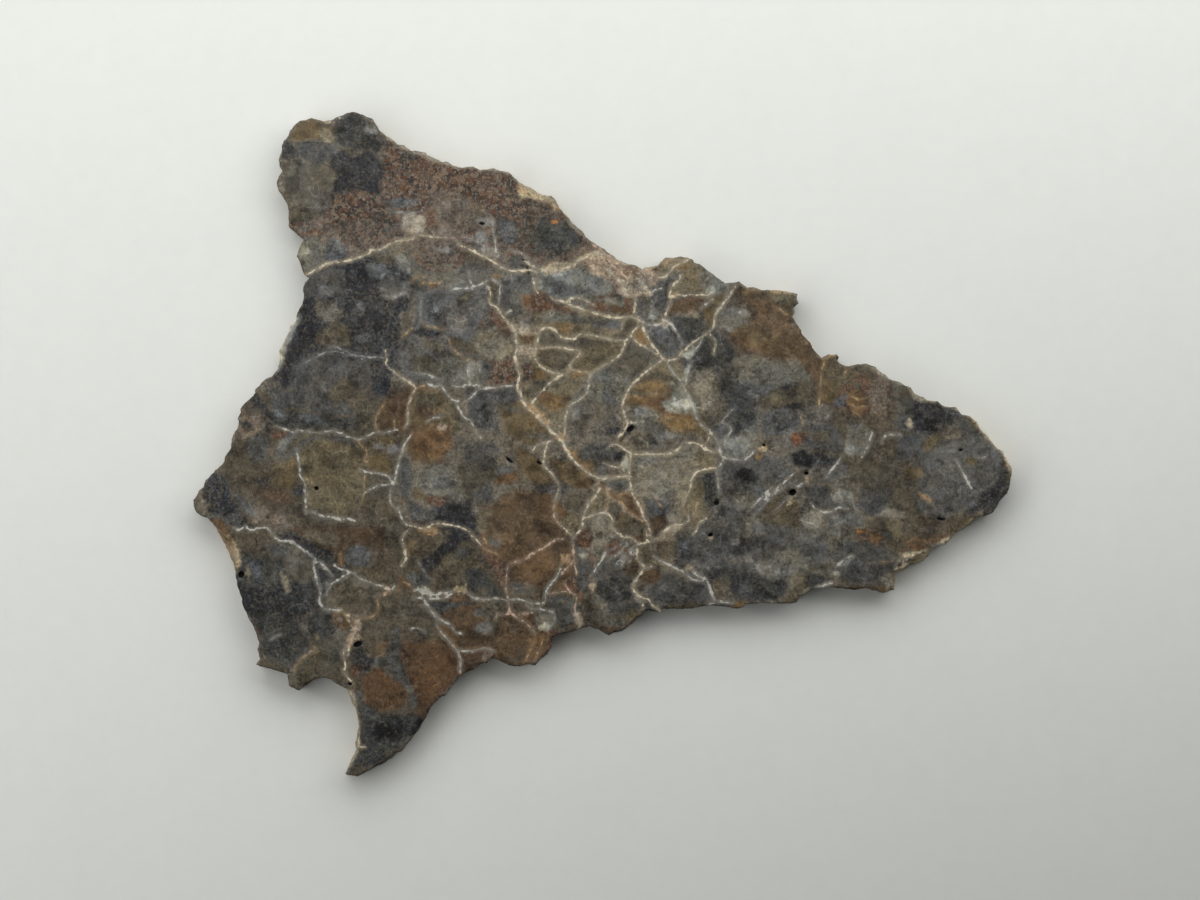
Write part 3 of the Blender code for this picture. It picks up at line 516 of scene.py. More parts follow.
lead .08 16,-6 17.2,-6 17.5,-6.6 16.8,-6.9 16,-6.5
slate_blue .12 oval 17.8,-7.3 .6,.4 0
rust_sand .08 18.7,-6.5 19.3,-6.1 20,-6.4 20.6,-7 20.3,-7.5 19.4,-7 19,-7
cinnamon .08 oval 19.4,-6.4 .45,.15 -20
slate_blue .08 20.2,-6.6 21,-6.2 21.2,-6.9
drab .1 21.1,4.8 22.2,4.4 23,3.8 22.8,2.9 22.2,2.4 21.4,2.2 21.2,3.2
slate .1 21.4,2.2 22.4,2.3 22.8,1.3 22.2,1 21.3,1.4
ink .1 22.9,3.7 23.6,3.7 24.2,3.4 24.9,3.3 24.9,2.2 24.4,1.6 24.3,1 23.2,.9 22.8,1.3 22.7,2.4
charcoal .1 24.9,3.2 25.9,2.9 26.3,2 25,1.8
mud .12 24.6,1.5 26.4,1.9 27,1.2 28.5,.6 27.6,1.8 26.8,2.3
tan .06 26.9,2.3 27.5,2 28.3,1 28.5,.6 28.2,.6 27.4,1.5
ash .1 24.4,1 26,1.6 26.4,.6 25,.3 24.4,.3
iron .12 23.4,-1 24.6,0 26,.4 27.6,.6 28.7,.3 29.2,-.6 29.2,-2 28.6,-3 27.6,-3.9 26.6,-4.6 25,-5.4
 23.6,-5.2 22.8,-4.6 23.6,-3.4 24,-2.4
slate .3 oval 25.6,-4.4 1.6,.6 10
slate .3 oval 28,-1.6 .7,1.2 0
olive .1 28.9,-.4 29.5,-.7 30,-1.8 30.2,-2.5 29.6,-2.7 29.4,-1.6
graphite .1 29,-3.6 29.6,-3.1 30,-3.6 29.3,-4.5 28.5,-5.1 27.4,-5.5 28.5,-4.3
ochre .12 22.1,-1.7 23.2,-1.6 23.4,-2 23,-2.7 22.2,-2.4
moss .1 23.9,.7 24.6,.8 24.6,.2 24.1,-.4 23.4,-.6 23.3,-.1
slate .12 21.6,.5 23.4,.9 23.2,-.2 22.4,-1.2 21.6,-1.1
tan .05 23.2,-3.5 23.8,-3.7 24.1,-4.2 23.5,-4
soot .06 oval 24.7,-1.3 .3,.12 -30
moss .08 oval 27,-1.2 .4,.25 0
oat .1 20.1,-5.1 21,-4.7 22.2,-4.8 22,-5.3 20.8,-5.3
moss .1 20.4,-5.4 21.6,-5.5 22,-6.4 21.6,-7 21,-6.5 20.6,-6
copper .12 22.4,-6.9 24,-6.6 25.4,-6.6 25.2,-7.1 22.6,-7.6 22,-7.2
cinnamon .08 22.5,-7.5 23.4,-7.3 23.7,-7.7 22.8,-8
wine .08 21.9,-7.6 22.6,-7.7 22.3,-8.2 21.7,-8
tan .08 26.3,-6.4 27.2,-6 27.4,-5.4 26.8,-5.4
bark .12 -22.6,-6 -16,-6 -16,-8 -17.2,-7.4 -18.8,-7.4 -19.3,-8.4 -21.6,-6.8 -22.8,-6.4
mud .12 -22,-6.2 -19.4,-6.4 -19.4,-7.4 -20.4,-7.4 -21.6,-6.8
soot .12 -23.9,-6.5 -22,-6.8 -20.6,-7.6 -19.6,-7.8 -19.6,-8.4 -21.6,-7.9 -22.4,-7.4 -23.6,-6.9
drab .2 -24.8,-7.2 -23.6,-7.2 -22.2,-7.7 -21.2,-8.6 -21.1,-9.6 -21.5,-10.2 -22.4,-10.1 -23.6,-8.4
 -24.4,-8.5
iron .15 oval -23.6,-7.8 .6,.5 0
oat .1 -23.5,-9.2 -22.9,-9.6 -23,-10.2 -22.8,-10.8 -23.1,-10.9 -23.4,-10.2
soot .15 -26.6,-11 -25.6,-10.4 -24,-10.8 -22.6,-11.4 -22,-12.2 -23,-12.6 -24.4,-12 -26,-12.6
steel .15 oval -25.3,-9.2 .4,.7 20
iron .1 oval -24,-9.6 .15,.5 0
khaki .08 oval -25.9,-9.4 .2,.5 0
slate_blue .1 -18.6,-7.6 -17.6,-7.4 -17.1,-7.8 -17,-8.8 -18,-9 -18.8,-8.6
copper .08 -19.5,-9 -18.9,-8.9 -18.7,-8 -19,-7.6 -19.4,-8.2
drab .12 -20.2,-10.9 -19.3,-10 -18.3,-9.6 -16.4,-10.3 -16,-11 -16.4,-12 -17.5,-12.7 -18.6,-12.6 -19.2,-12
 -20.2,-11.8
cinnamon .12 -19.8,-12.2 -19,-12.1 -18.6,-12.7 -18.6,-13.3 -19.1,-13.5 -19.6,-13
sand .1 oval -19.2,-12.7 .25,.45 30
cream .06 -19.5,-12.1 -18.9,-12 -18.5,-12.6 -18.5,-13.2 -18.6,-13 -18.9,-12.4 -19.2,-12.2
blush .07 -18.4,-12.9 -18,-12.5 -17.7,-13 -17.6,-14.2 -18.1,-14.4 -18.6,-14.9 -18.8,-14.9 -18.4,-13.5
soot .03 -18.2,-14.8 -17.9,-14.4 -17.6,-14.4 -17.5,-14.7 -17.8,-14.8
copper .1 -16.2,-14.4 -15.6,-14 -15.9,-15.2 -16.5,-15.6 -16.6,-15
slate .15 -24.6,-13.8 -23.6,-13.4 -22.4,-13.6 -21.8,-14.2 -21.3,-15.1 -22.2,-15.6 -22.9,-16.5 -23.5,-16.3
 -24.2,-15.8
wine .15 -25.5,-13.2 -25,-13.8 -24.7,-15 -24.9,-15.8 -25.3,-15.9 -25.5,-14.4
mud .12 -25.3,-16 -24.4,-15.8 -23.2,-16.2 -22.8,-17 -24,-16.5 -25.2,-16.3
mud .12 -22.8,-17.1 -22,-15.8 -21,-15.1 -20,-15.1 -19.2,-15.8 -18.9,-17 -19.3,-17.7 -20.5,-17.2
 -21.5,-17.5 -22.2,-17.9 -23,-17.5
graphite .12 -21.6,-12.8 -20.8,-12 -20,-12.3 -19.5,-13.8 -20.4,-14.2 -21.4,-13.7
drab .15 -21.3,-14.2 -19.4,-14.2 -19,-15.4 -20,-15.4 -21.2,-15
khaki .08 oval -20.9,-14 .25,.3 0
charcoal .12 -18.4,-14.9 -17.4,-15 -17,-15.6 -17.2,-16.8 -18,-16.9 -18.4,-15.8
wine .12 oval -18,-16.6 .4,.5 0
slate .12 -16.9,-15.7 -15.8,-15.6 -15.2,-15.2 -15.6,-14.4 -15.4,-13.2 -14.8,-13.4 -14.9,-16.1 -13.8,-17.6
 -13.5,-19 -13.9,-19.7 -14.6,-17.5 -15.3,-17.2 -16.4,-16.2 -17,-16.2
slate_blue .1 -15.2,-16.4 -14.8,-16 -14.4,-17.2 -14.9,-17.3 -15.5,-17
chestnut .12 -17.1,-16.7 -16.3,-16.2 -15.9,-16.9 -14.3,-18 -14.2,-18.7 -15,-19.3 -16,-19.5 -16.9,-19
 -17.3,-18
slate .12 -18.1,-18 -17.4,-18.2 -17.3,-19 -16.5,-19.7 -15.4,-19.8 -16.4,-20.3 -17.6,-20.6
wine .12 -13.8,-13.9 -12.8,-14.4 -12,-15 -11,-15.3 -10.5,-15.6 -10.4,-16.5 -11.2,-17.8 -12.2,-18.6
 -13.1,-19.9 -13.5,-19 -13.6,-18 -13.9,-17 -14.6,-16.2 -14.8,-15 -14.5,-14.2
copper .12 oval -13.1,-19.2 .25,.6 -20
umber .15 -14.4,-14 -12.2,-13.4 -11.9,-14.3 -12.8,-14.6 -14.2,-14.7
black .12 -16.9,-20.8 -16.4,-20.2 -15.4,-19.8 -14.6,-19.9 -13.8,-19.8 -13,-20 -13.1,-20.5 -13.7,-21.1
 -14.5,-21.2 -15.2,-21.5 -16.2,-21.5
graphite .12 oval -16.6,-23.2 .9,.3 25
soot .1 -13.1,-8.1 -12.4,-8 -11.8,-7.6 -11.4,-7 -10.7,-7 -10.8,-7.6 -11.5,-8.2 -11.9,-8.9 -12.6,-9.4
 -13.2,-9.1
olive .15 -11.8,-8.4 -10.8,-7.9 -10.2,-7.2 -9.6,-7.3 -9.1,-8.2 -9.1,-9 -11.4,-9.6 -12,-9.5
slate .15 oval -10.3,-7.9 .5,.4 0
graphite .12 -10,-9.1 -8.8,-9.2 -8.2,-9.8 -7.8,-10.4 -7.2,-11 -8.4,-11.1 -9.4,-10.9 -10,-10.4
mud .1 oval -8.7,-10.6 .4,.3 0
slate_blue .1 -13.8,-9.2 -12.9,-9.8 -12.7,-10.4 -13.8,-10.2 -14.4,-9.6
chestnut .1 -15,-9.7 -14.4,-9.8 -14,-10.3 -14.4,-10.6 -15,-10.5
pale .05 -13.7,-10.6 -12.9,-10.4 -12.3,-10.9 -13,-11
cream .05 -10.8,-10.4 -10,-10.2 -10.1,-10.8 -10.8,-10.8
graphite .1 -13.1,-11.4 -11,-11.6 -9.8,-11.4 -9.2,-11.6 -10.6,-11.8 -11.5,-12.1 -11.8,-12.6
slate .1 -11.8,-11.9 -10.8,-11.5 -10.6,-11.7 -11.6,-12.3
bark .12 -10.2,-13.2 -9,-12.9 -8.2,-14 -8,-14.8 -9.4,-14.8 -10.5,-14.5
umber .12 -8.6,-12 -8,-11.8 -7.4,-11.7 -7,-12.1 -7.6,-12.5 -8.2,-12.6
slate_blue .1 oval -9,-12.3 .35,.3 0
lavender .12 oval -8.7,-13.4 .6,.4 0
beige .06 oval -7.8,-12.3 .1,.6 0
cinnamon .1 -11.9,-13.1 -11,-13.6 -10.6,-14 -10.7,-15 -11.2,-14.6 -11.9,-13.7
bark .12 -10.4,-15.2 -7.8,-15.1 -7.7,-15.9 -9.4,-16.1 -10.4,-16.8
sand .08 -8.6,-15.3 -8,-15.3 -7.9,-15.9 -8.8,-16
bark .1 -7.6,-12.7 -6.8,-12.5 -5.6,-13.4 -5.4,-13.8 -5.7,-14.6 -5.5,-15 -5.8,-15.9 -6.6,-16.2 -7.4,-15.9
 -7.6,-15
mud .2 oval -6.5,-15.1 .6,.9 0
rust .08 -5.6,-14.4 -4.9,-13.8 -3.6,-13.5 -3.3,-13.9 -3.7,-15 -4.4,-15.6 -5.2,-16.1 -5.9,-16 -5.5,-15
tan .04 oval -4,-13.9 .08,.4 0
lead .1 -5,-12.5 -4.4,-12.1 -3.8,-12.4 -3.6,-12.9 -3.6,-13.4 -4.1,-13.6 -4.7,-13.4 -5.1,-12.9
slate .1 oval -4.4,-12.3 .5,.15 0
chalk .06 -4.7,-13.3 -4.2,-13 -3.7,-13.3 -3.9,-13.6 -4.5,-13.5
chestnut .1 -7,-7.2 -4.6,-7.2 -6.2,-8.5 -7.1,-8.8
rust .1 -9.2,-7.1 -8.3,-7.5 -7.5,-8.2 -7.1,-9 -7.1,-10.4 -7.6,-10.2 -8,-9 -8.8,-7.9
slate_blue .1 oval -7.8,-7.2 .4,.3 0
chestnut .1 -6.7,-9.2 -5.6,-8.7 -5,-8 -3.4,-7.2 -2.9,-7.6 -3,-8.6 -4.7,-11.2 -6.6,-11.2 -6.9,-10.4
drab .12 -6.8,-10.1 -5,-10.1 -4.6,-10.6 -4.9,-11.1 -6.6,-11.1
slate .08 oval -6,-10.5 .35,.3 0
chestnut .1 -6.2,-12.6 -5,-12.2 -4.9,-12.8 -4.9,-13.6 -5.6,-13.2
slate .12 -3.9,-11.2 -2.6,-11 -1.9,-11.6 -2,-13 -2.6,-13.3 -3.3,-13.1 -3.4,-12.2 -3.8,-11.8
ash .12 oval -2.9,-11.5 .4,.15 0
copper .1 -3,-7.1 -2.5,-7 -2.2,-8 -1.9,-10.8 -2.4,-11 -3,-10.7 -3.8,-10.7 -3.2,-9.9 -2.9,-8.8
rust .08 -2.9,-9.9 -2.1,-9.6 -1.8,-10.6 -2.3,-10.8 -2.8,-10.5
tan .05 -3,-8.2 -2.4,-8 -2.3,-8.7 -2.9,-8.8
iron .1 -1.9,-7.5 -1.1,-7.8 -1,-8.6 -1.2,-10.6 -1.7,-11 -1.9,-9.6
pale .06 oval -1.5,-8.1 .3,.15 0
wine .1 -1.9,-6.2 -1,-6.2 -.5,-6.7 -.9,-7.5 -1.8,-7.4
oat .12 -.9,-5.6 .3,-5.5 .9,-6.8 -.4,-8 -1.2,-7.7 -.6,-7
mud .1 oval -.2,-6.6 .35,.3 0
rust .07 .3,-7.5 .8,-6.9 1.2,-7 1.3,-7.5 .9,-8 .4,-8.1
chestnut .1 1.2,-5.5 2.6,-5.5 3.1,-6.2 3.2,-7 2.6,-7.1 2.2,-6.7 1.4,-6.4
mud .1 1.1,-6.7 2.1,-6.9 2.5,-7.4 1.6,-7.8 1.2,-7.7
bark .08 3.5,-5.4 4.4,-5.2 4.8,-5.8 4.2,-6.5 3.7,-6.7 3.5,-6
beige .08 4.1,-7 4.4,-6.4 4.8,-5.9 5.3,-5.8 5.9,-6.1 4.9,-7
khaki .1 4.9,-7 5.4,-6.8 5.5,-7.8 5,-8.5 4.7,-8
cinnamon .08 4,-7.1 4.7,-7.1 4.8,-7.8 4.6,-8.4 4,-8
bark .1 1.7,-8 2.4,-7.6 2.5,-8.6 2.8,-9 2.4,-9.6 1.9,-9.5 1.5,-8.8
olive .12 2.7,-7.5 3.5,-7.3 3.8,-8.1 4.4,-9 3.2,-8.9 2.8,-8.4
chestnut .1 3.1,-9.2 4.2,-9.2 4.5,-9.6 3.8,-10.2 3,-10.1 2.8,-9.6
slate .12 -.9,-8.6 .4,-8.4 1.2,-8.4 1.6,-9.3 2.2,-9.9 2,-10.6 1.2,-10 0,-9.8 -.8,-9.8
graphite .15 -.4,-9.9 .6,-9.7 1.6,-9.8 2.1,-10.4 2.3,-11 1.6,-11.5 .2,-11.4 -.4,-10.9
pearl .08 oval 1.05,-10.7 .13,.35 -10
cream .06 -1.1,-10.3 -.5,-10.2 -.5,-10.6 -.7,-11 -1,-10.8
slate .12 .4,-11.5 2.4,-11.6 3,-11.8 2.6,-12.4 1.6,-12.6 .6,-12.4
olive .12 1.9,-12 2.9,-12.1 2.5,-12.9 1.8,-13.2 1.4,-12.7
drab .12 .2,-12.6 1.6,-12.8 1.5,-13.4 .3,-13.2
bark .08 -.3,-13.3 .4,-13.3 1.4,-13.4 .8,-13.8 .2,-13.9 -.2,-13.6
beige .05 -2.1,-12.2 -1.8,-12.4 -1.4,-13 -1.5,-13.3 -1.8,-13.6 -2.1,-12.6
slate .12 4.4,-9.2 5.4,-9.5 6.4,-10 7.2,-10.1 7.8,-11 7.8,-11.7 6.6,-12 5,-12.1 4.4,-12 3.2,-11 3.3,-10.4
 4.2,-10
umber .12 4.3,-11.7 6,-11.5 7.4,-11.5 6.8,-12.2 4.8,-12.3
lead .1 oval 4.4,-10.6 .4,.2 30
graphite .08 2.9,-11.9 3.3,-11.1 4.2,-12.4 3.3,-12.3
oat .08 2.1,-10.2 2.5,-10.2 2.8,-11.1 2.6,-11.6 2.3,-11
steel .1 5.6,-7.2 6.2,-7.1 6.2,-7.9 5.6,-7.9
iron .12 5,-8 6.2,-8.4 7.6,-8 9.2,-8 8.4,-8.9 7.4,-9.1 6,-8.8
graphite .12 5.2,-8.4 6,-8.8 7.2,-9.6 7,-9.8 6,-9.2 5.2,-8.9
beige .07 oval 6.3,-9 .3,.25 0
lavender .08 oval 6.9,-9.4 .4,.12 -30
soot .1 7.4,-9.4 8.2,-9.2 9.2,-8.8 9.2,-9.3 8.4,-9.7 8,-10.2 7.6,-9.8
umber .12 8.2,-9.8 9.4,-9.8 9.6,-11 8.4,-11.2 8,-10.6
pearl .05 oval 9.7,-7.1 .32,.28 0
graphite .12 10,-6.7 13,-6.7 13.3,-7 10.6,-7.7 10,-7.3
lead .15 9,-8.2 10.8,-8 11,-8.6 9.2,-8.7
graphite .15 8.6,-8.8 10.2,-9 12.4,-10 13.2,-9.9 13.6,-10.6 13.2,-11.2 12,-11.5 10.6,-11.4 9.7,-11.2
 9.7,-10.2 8.8,-9.6
slate_blue .12 oval 10.6,-10.6 .5,.3 30
soot .12 oval 9.6,-10.4 .3,.4 0
fog .3 11.2,-8.9 13,-7.9 13.8,-7.6 14.3,-8.4 14.2,-9.2 13.2,-9.4 12.4,-9.8 11.5,-9.4
drab .12 14.6,-9.3 16.8,-9.2 16.8,-8.2 15.9,-8.2
khaki .15 13.4,-9.8 14.2,-9.3 14.7,-9.8 15,-10.6 14.5,-10.9 14,-10.6 13.6,-10.2
umber .1 12.8,-11.4 13.8,-10.8 14.4,-10.9 14.2,-11.7 12.9,-11.8
graphite .1 14.9,-9.4 16,-9.5 17,-9.8 16.4,-10.1 15.2,-10.5 14.9,-10.1
oat .06 15,-10.6 16,-10.3 16.9,-9.9 16.7,-10.2 15.6,-10.6
iron .2 oval 18.6,-9.6 1,.4 0
pearl .06 17.2,-9 18,-8.3 18.5,-8 18.3,-8.4 17.7,-8.9
pale .05 oval 17.08,-9.5 .22,.2 0
bark .1 17.6,-10.3 18.5,-10.2 19.4,-10.4 20.6,-10.2 21.3,-10.5 21,-10.9 18,-10.7
gold .06 9.4,-11.6 10.4,-11.5 10.5,-12 9.5,-12
soot .05 8.3,-11.6 9.3,-11.6 9.2,-11.8 8.3,-11.8
soot .05 oval 11.1,-11.65 .35,.1 0
pearl .05 oval 12.2,-11.45 .35,.08 0
cinnamon .1 -28.7,-5.5 -28,-5.3 -26.8,-7.1 -26.5,-8 -26.5,-8.8 -27,-9.6 -27.8,-8.8 -28.6,-7
tan .1 -28,-6 -27.4,-6.3 -26.6,-8 -26.6,-8.8 -27,-9.2 -27.4,-8.4
cream .06 -27.6,-6.1 -26.8,-7.2 -26.5,-8 -26.4,-8.8 -26.8,-9.2 -26.8,-8.4
beige .08 -18.8,-17.9 -18.3,-17.9 -18,-19 -17.9,-20.5 -17.9,-22 -18.1,-23 -18.6,-23.6 -19.1,-23.7
 -18.7,-22.6 -18.6,-21
cream .05 -18.3,-18.4 -18.1,-19.4 -18.1,-22 -18.3,-19.6
oat .1 21.6,-7.9 22.8,-7.8 24.3,-7.5 24.5,-8.2 23.5,-8.9 22.2,-9.4 21.5,-10 20.8,-10.8 20.9,-9.8 21.3,-9
cream .05 21.9,-8 23,-8 24.1,-7.8 24.3,-8.1 23,-8.3 22,-8.3
cream .05 21.5,-8.9 22.3,-8.7 23.5,-8.6 22.6,-9.1 21.6,-9.4 21,-10.2
soot .04 21.8,-8.6 22.6,-8.4 23.7,-8.3 22.8,-8.6
bark .04 21.3,-8.7 22,-8.55 21.6,-8.95
cream .06 27.4,-5.2 27.3,-5.7 25.9,-6.6 25.4,-7 24.6,-7.4 24.7,-7.2 25.3,-6.8 26.5,-5.8
ochre .2 -22.9,22.6 -22.3,23.6 -21.2,23.9 -20.4,23.6 -20.3,22.7 -21.2,22.2 -22.4,22.2
khaki .2 -20.6,23.4 -19.6,23.4 -19,22.8 -19.2,22 -20.2,22 -20.8,22.4
cream .05 -20.6,23.8 -19.8,23.6 -19.2,23.8 -18.9,23.9 -19.4,23.6 -20.2,23.4
beige .12 -16.5,23.4 -14.6,22.3 -13,21.9 -10.9,20.9 -11.4,20.8 -14.6,21.6 -15.8,22.4
oat .1 -10.8,20.8 -9.4,20.5 -8,20.4 -7,20.2 -6.2,19.7 -6.4,19.5 -7.2,19.9 -9.6,20.2
tan .1 -6.3,19.5 -4.4,18.5 -3.5,18.4 -2.9,17.3 -3.4,17 -4,17.6 -5.6,18.2 -6.3,18.8
amber .08 oval -5.45,18.8 .5,.25 -15
amber .06 oval -3.5,16.35 .25,.15 0
cream .06 -4.4,18.4 -3.6,18.3 -3.1,17.5 -3.4,17.2 -4,17.8 -4.6,17.9
cream .06 -6.2,18.6 -5.4,18.4 -5,18.2 -5.6,18.1 -6.2,18.3
pearl .1 -22.1,9.6 -22,9.3 -22.9,7.4 -23.6,5.4 -24.2,5.1 -24,6.4 -23,9
oat .08 19,6 20,5.7 22.4,4.4 23.2,3.6 24.8,3.3 26.4,2.7 27.3,2.1 27,2 26,2.5 24.6,3 23,3.2 22.2,4.1
 20.8,4.8
cream .06 27.3,2.2 28.4,1.2 30.1,-1.8 30.2,-2.6 29.8,-2 29.1,-.4
graphite .3 -19.5,23.5 -18,24.1 -16.8,23.2 -16.2,21.8 -18.2,21.4 -19.4,21.9
pearl .2 -17.3,23.4 -16.7,23.3 -16.4,22.8 -17,22.7 -17.5,23
pale .3 oval -21.8,14 .5,.5 0
pearl .15 -4.3,11.8 -3.6,12.4 -1.8,12.5 0,12.3 1,11.6 .2,10.9 -3.2,10.8 -4.2,11.2
iron .15 -3.9,11.7 -3,11.9 -1.6,11.4 -.4,11.4 -1.4,11 -3.2,10.9
beige .15 1.7,12 2.4,12.4 3.4,12.1 3.3,11.1 2.7,10.7 2,10.9
iron .15 3,8.7 4.2,8.8 5.2,8.1 5.8,7.1 5,6.5 4.5,6.4 3.7,7.3
graphite .4 6.1,8.8 7,9.3 8,8.5 8.2,7.9 9,8 9.4,6.9 9.3,5.5 10.4,4.2 11.2,3 11.2,1.8 10.3,.8 9.4,.4
 9.1,1.6 9.6,3 8.9,4 8.6,5.4 7.3,6 6.8,6.9 6.1,7.5
copper .5 9.8,11.1 12,10.7 13.4,10 13.9,8.8 15.2,6.4 13.5,6.1 11.5,6.4 9.8,7 9.6,8.2 10.8,8.8 11,9.8
ochre .5 oval 11.5,7.8 1.6,.6 -20
lead .35 8.4,9.5 9.4,9.9 10.4,9.6 10.6,8.9 9.4,8.5 8.5,8.7
oat .3 6.9,5.5 8,5.5 8.5,4 8.2,3 7.5,2.6 6.9,3.4 6.5,4.3
gold .4 2.4,4.2 4.6,3.5 5.2,4 4.6,4.7 3.2,4.6
gold .4 3.9,1.9 5.2,2.2 6.7,1.9 7,1 6,.8 4.7,1.1
pale .25 4.4,3.1 5.3,3.5 6.1,4 6.6,3 6.9,2.2 6,2.3 5,2.5
chalk .2 5.1,3 5.8,3.4 6.3,3.5 6.7,2.5 5.9,2.5
black .08 1.5,1.1 1.9,1.5 2.4,1.3 2.1,.9 1.7,.6 1.4,.7
chalk .04 2,1.7 2.4,1.6 2.3,1.4 2,1.45
bark .1 oval 1.4,.3 .35,.2 30
pearl .5 oval .2,4.8 .9,.35 0
fog .4 oval -2.1,2.3 .45,.6 0
gold .3 oval -3.4,3.1 .7,.4 15
ochre .5 oval -6.2,1.5 1.1,.6 -10
oat .4 -9.2,8.4 -7.8,8.6 -7,8 -7.2,6.4 -8.6,6.3 -9.4,7.2
khaki .3 oval -8.3,7.8 .6,.4 0
beige .15 -6.9,8.9 -5.8,8.8 -4.8,8.6 -4.9,8.1 -6,8 -6.8,8.2
beige .15 -6.2,7.3 -5,7.2 -4.8,6.5 -5.2,6.1 -6.1,6.2
lead .3 -11.6,6.8 -10.4,6.3 -9,6.3 -8.8,5 -9.2,4.2 -10.8,4.3 -11.8,5
fog .15 oval -9.5,5.6 .35,.6 0
lavender .15 oval -10.4,5 .5,.5 20
olive .25 -4.6,6.8 -3.4,7 -2.2,6.8 -2.4,6 -3,5.6 -4.2,5.8
brick .08 13.8,.7 14.2,.9 14.6,.4 14.4,0 14,0 13.8,.3
black .15 13.6,-.6 14.8,-.5 15.9,-.9 16.2,-1.5 15,-1.7 14,-1.4
ink .3 oval 16,-1.2 .8,.5 -40
black .2 oval 10.3,-2.1 .65,.5 0
lead .12 9.7,-3.8 10.3,-3.2 11,-3.3 11.3,-4 10.8,-4.8 10,-4.7
cream .05 14.7,-2.3 15.2,-2.2 15.3,-2.7 15,-2.9 14.8,-2.6
cream .05 13.5,-4 13.9,-3.9 13.9,-4.3 13.6,-4.4
cream .05 7.8,-6.7 8.1,-6.8 8,-7.05 7.75,-6.95
cream .05 11.4,-.3 11.9,0 12.1,-.2 11.8,-.5 11.5,-.5
fog .12 14.4,-5.3 14.9,-5 15.7,-5 16.1,-5.5 15.8,-5.9 15,-6 14.5,-5.8
pearl .06 14.6,-5.7 15.1,-6 15.8,-5.8 15.6,-6.1 15,-6.2
slate_blue .4 11.6,2 12.6,2.6 14,2.4 14.6,1.6 13.6,1 12,1
cinnamon .15 18,3.9 19,4 19.6,3.2 19.2,2.2 18.2,2.2 17.9,3
sand .3 19.6,4.8 20.8,4.9 21.1,3.6 20.9,2.2 19.8,2 19.3,3.4
amber .06 oval 18.8,-6.4 .3,.15 10
cinnamon .1 19.6,-6.5 20.3,-6.4 20.7,-6.9 20.2,-7.2 19.5,-7
ochre .3 22.2,-1.6 23,-1.6 23.4,-2.2 22.6,-2.6
cream .05 22.3,1.9 22.6,1.8 22.6,1.2 22.3,1.2
iron .4 12.2,-6.4 14.4,-6.3 16.4,-6.9 17.2,-8.2 15.8,-9 13.6,-9.2 12,-8.4
lead .4 oval 13.6,-8.3 1.7,.8 -15
moss .4 -22,-.2 -20.6,.3 -18.8,0 -17.8,-1.4 -17.8,-4 -18.8,-5.2 -21.4,-4.8
ochre .4 -24,-1.6 -22.6,-1.4 -22.4,-2.8 -22.9,-3.6 -23.9,-3
chestnut .3 -16.4,2.4 -15.6,3.7 -14.3,4.2 -14.2,2.6 -14.6,1.4 -16.2,1.2
cinnamon .4 -14.2,1 -12.8,1.4 -11.2,1.2 -11,0 -11.9,-1.2 -13.6,-.8
bark .2 oval -12.9,2.3 .6,.4 0
blush .1 oval -11.7,1.3 .35,.25 20
khaki .4 -11.4,3.6 -10.4,2.2 -10.2,.6 -10.9,1.2 -11.5,2.4
sienna .25 -14.5,-14.7 -13,-14.3 -11.6,-14.5 -10.7,-15.6 -10.9,-17 -12.9,-19.6 -13.6,-18.4 -14.2,-16.8
sienna .3 -17.4,-16.9 -16.2,-16.4 -14.8,-17.4 -14.7,-19 -16,-19.5 -17.5,-18.9
graphite .3 -17.9,-20 -13.4,-19.7 -13.7,-20.7 -15,-22.2 -17,-23.2 -18.5,-23.7 -17.9,-22
black .3 -17,-20.3 -15.6,-20.3 -14.4,-20.6 -14.8,-21.6 -16.4,-21.7
graphite .4 -25.4,-12.7 -24,-12.4 -22.4,-12.9 -21.7,-14.2 -22.5,-15.6 -23.8,-15.9 -25,-15.5
mud .3 -19.8,-10.2 -18.3,-9.9 -16.9,-10.7 -16.7,-12 -18,-12.6 -19.5,-11.9
chestnut .25 -7.8,-13 -6.7,-12.8 -5.9,-13.7 -5.5,-14.8 -6.1,-15.7 -7.4,-15.5 -7.9,-14.5
cinnamon .15 -5.3,-13.8 -4.2,-13.8 -4,-14.8 -4.9,-15.8 -5.6,-15.6
copper .6 oval -6.3,-5.6 2,1.6 20
cinnamon .5 oval -5.2,-8.9 1.4,1.3 0
mud .3 oval 4.8,-7.7 .9,.6 0
olive .25 1.3,-4.7 3,-5.8 3.2,-6.3 2.2,-6.8 1.3,-6.4 .9,-5.7
ochre .4 -3.6,-1.3 -2.6,-1.2 -1.6,-1.9 -.9,-2.8 -1.8,-3 -3,-2.6
"""

# Tones that only the broken rim takes.
RIM_PATCHES = """
tan .3 -28.9,-4.8 -27.2,-4.8 -25.8,-9.2 -27.6,-9.8
beige .2 -19.2,-17.8 -18,-17.8 -18,-23.8 -19.2,-23.8
pearl .3 -24.8,9.8 -21.8,9.2 -23,5.2 -24.5,5.2
cream .3 -6.5,20.4 -5.8,17.8 -3,16.2 -2,17.8
beige .3 -16.8,24 -10.5,21.8 -6.4,20.8 -6.8,19.4 -10.8,20 -16.6,22.4
oat .3 -2.6,17.4 3.2,14 3,12.8 -2.8,15.6
oat .3 18.8,6.6 28,3 27,1.6 22.6,3 18.8,5.2
cream .3 26.8,3 30.6,-1.8 30.2,-2.8 29,-2.2 26.8,1.6
cream .3 27.8,-5 27.2,-6.4 24.5,-8 21,-11.2 20.4,-10.6 21.2,-8 24.4,-6.9 26.6,-5.2
khaki .3 14,-11.8 17.4,-10.6 17.2,-9.6 13.8,-10.6
oat .3 -29.6,.2 -27.6,3.4 -25.6,5.2 -25.4,4.4 -27.4,2.2 -28.9,-.4
"""

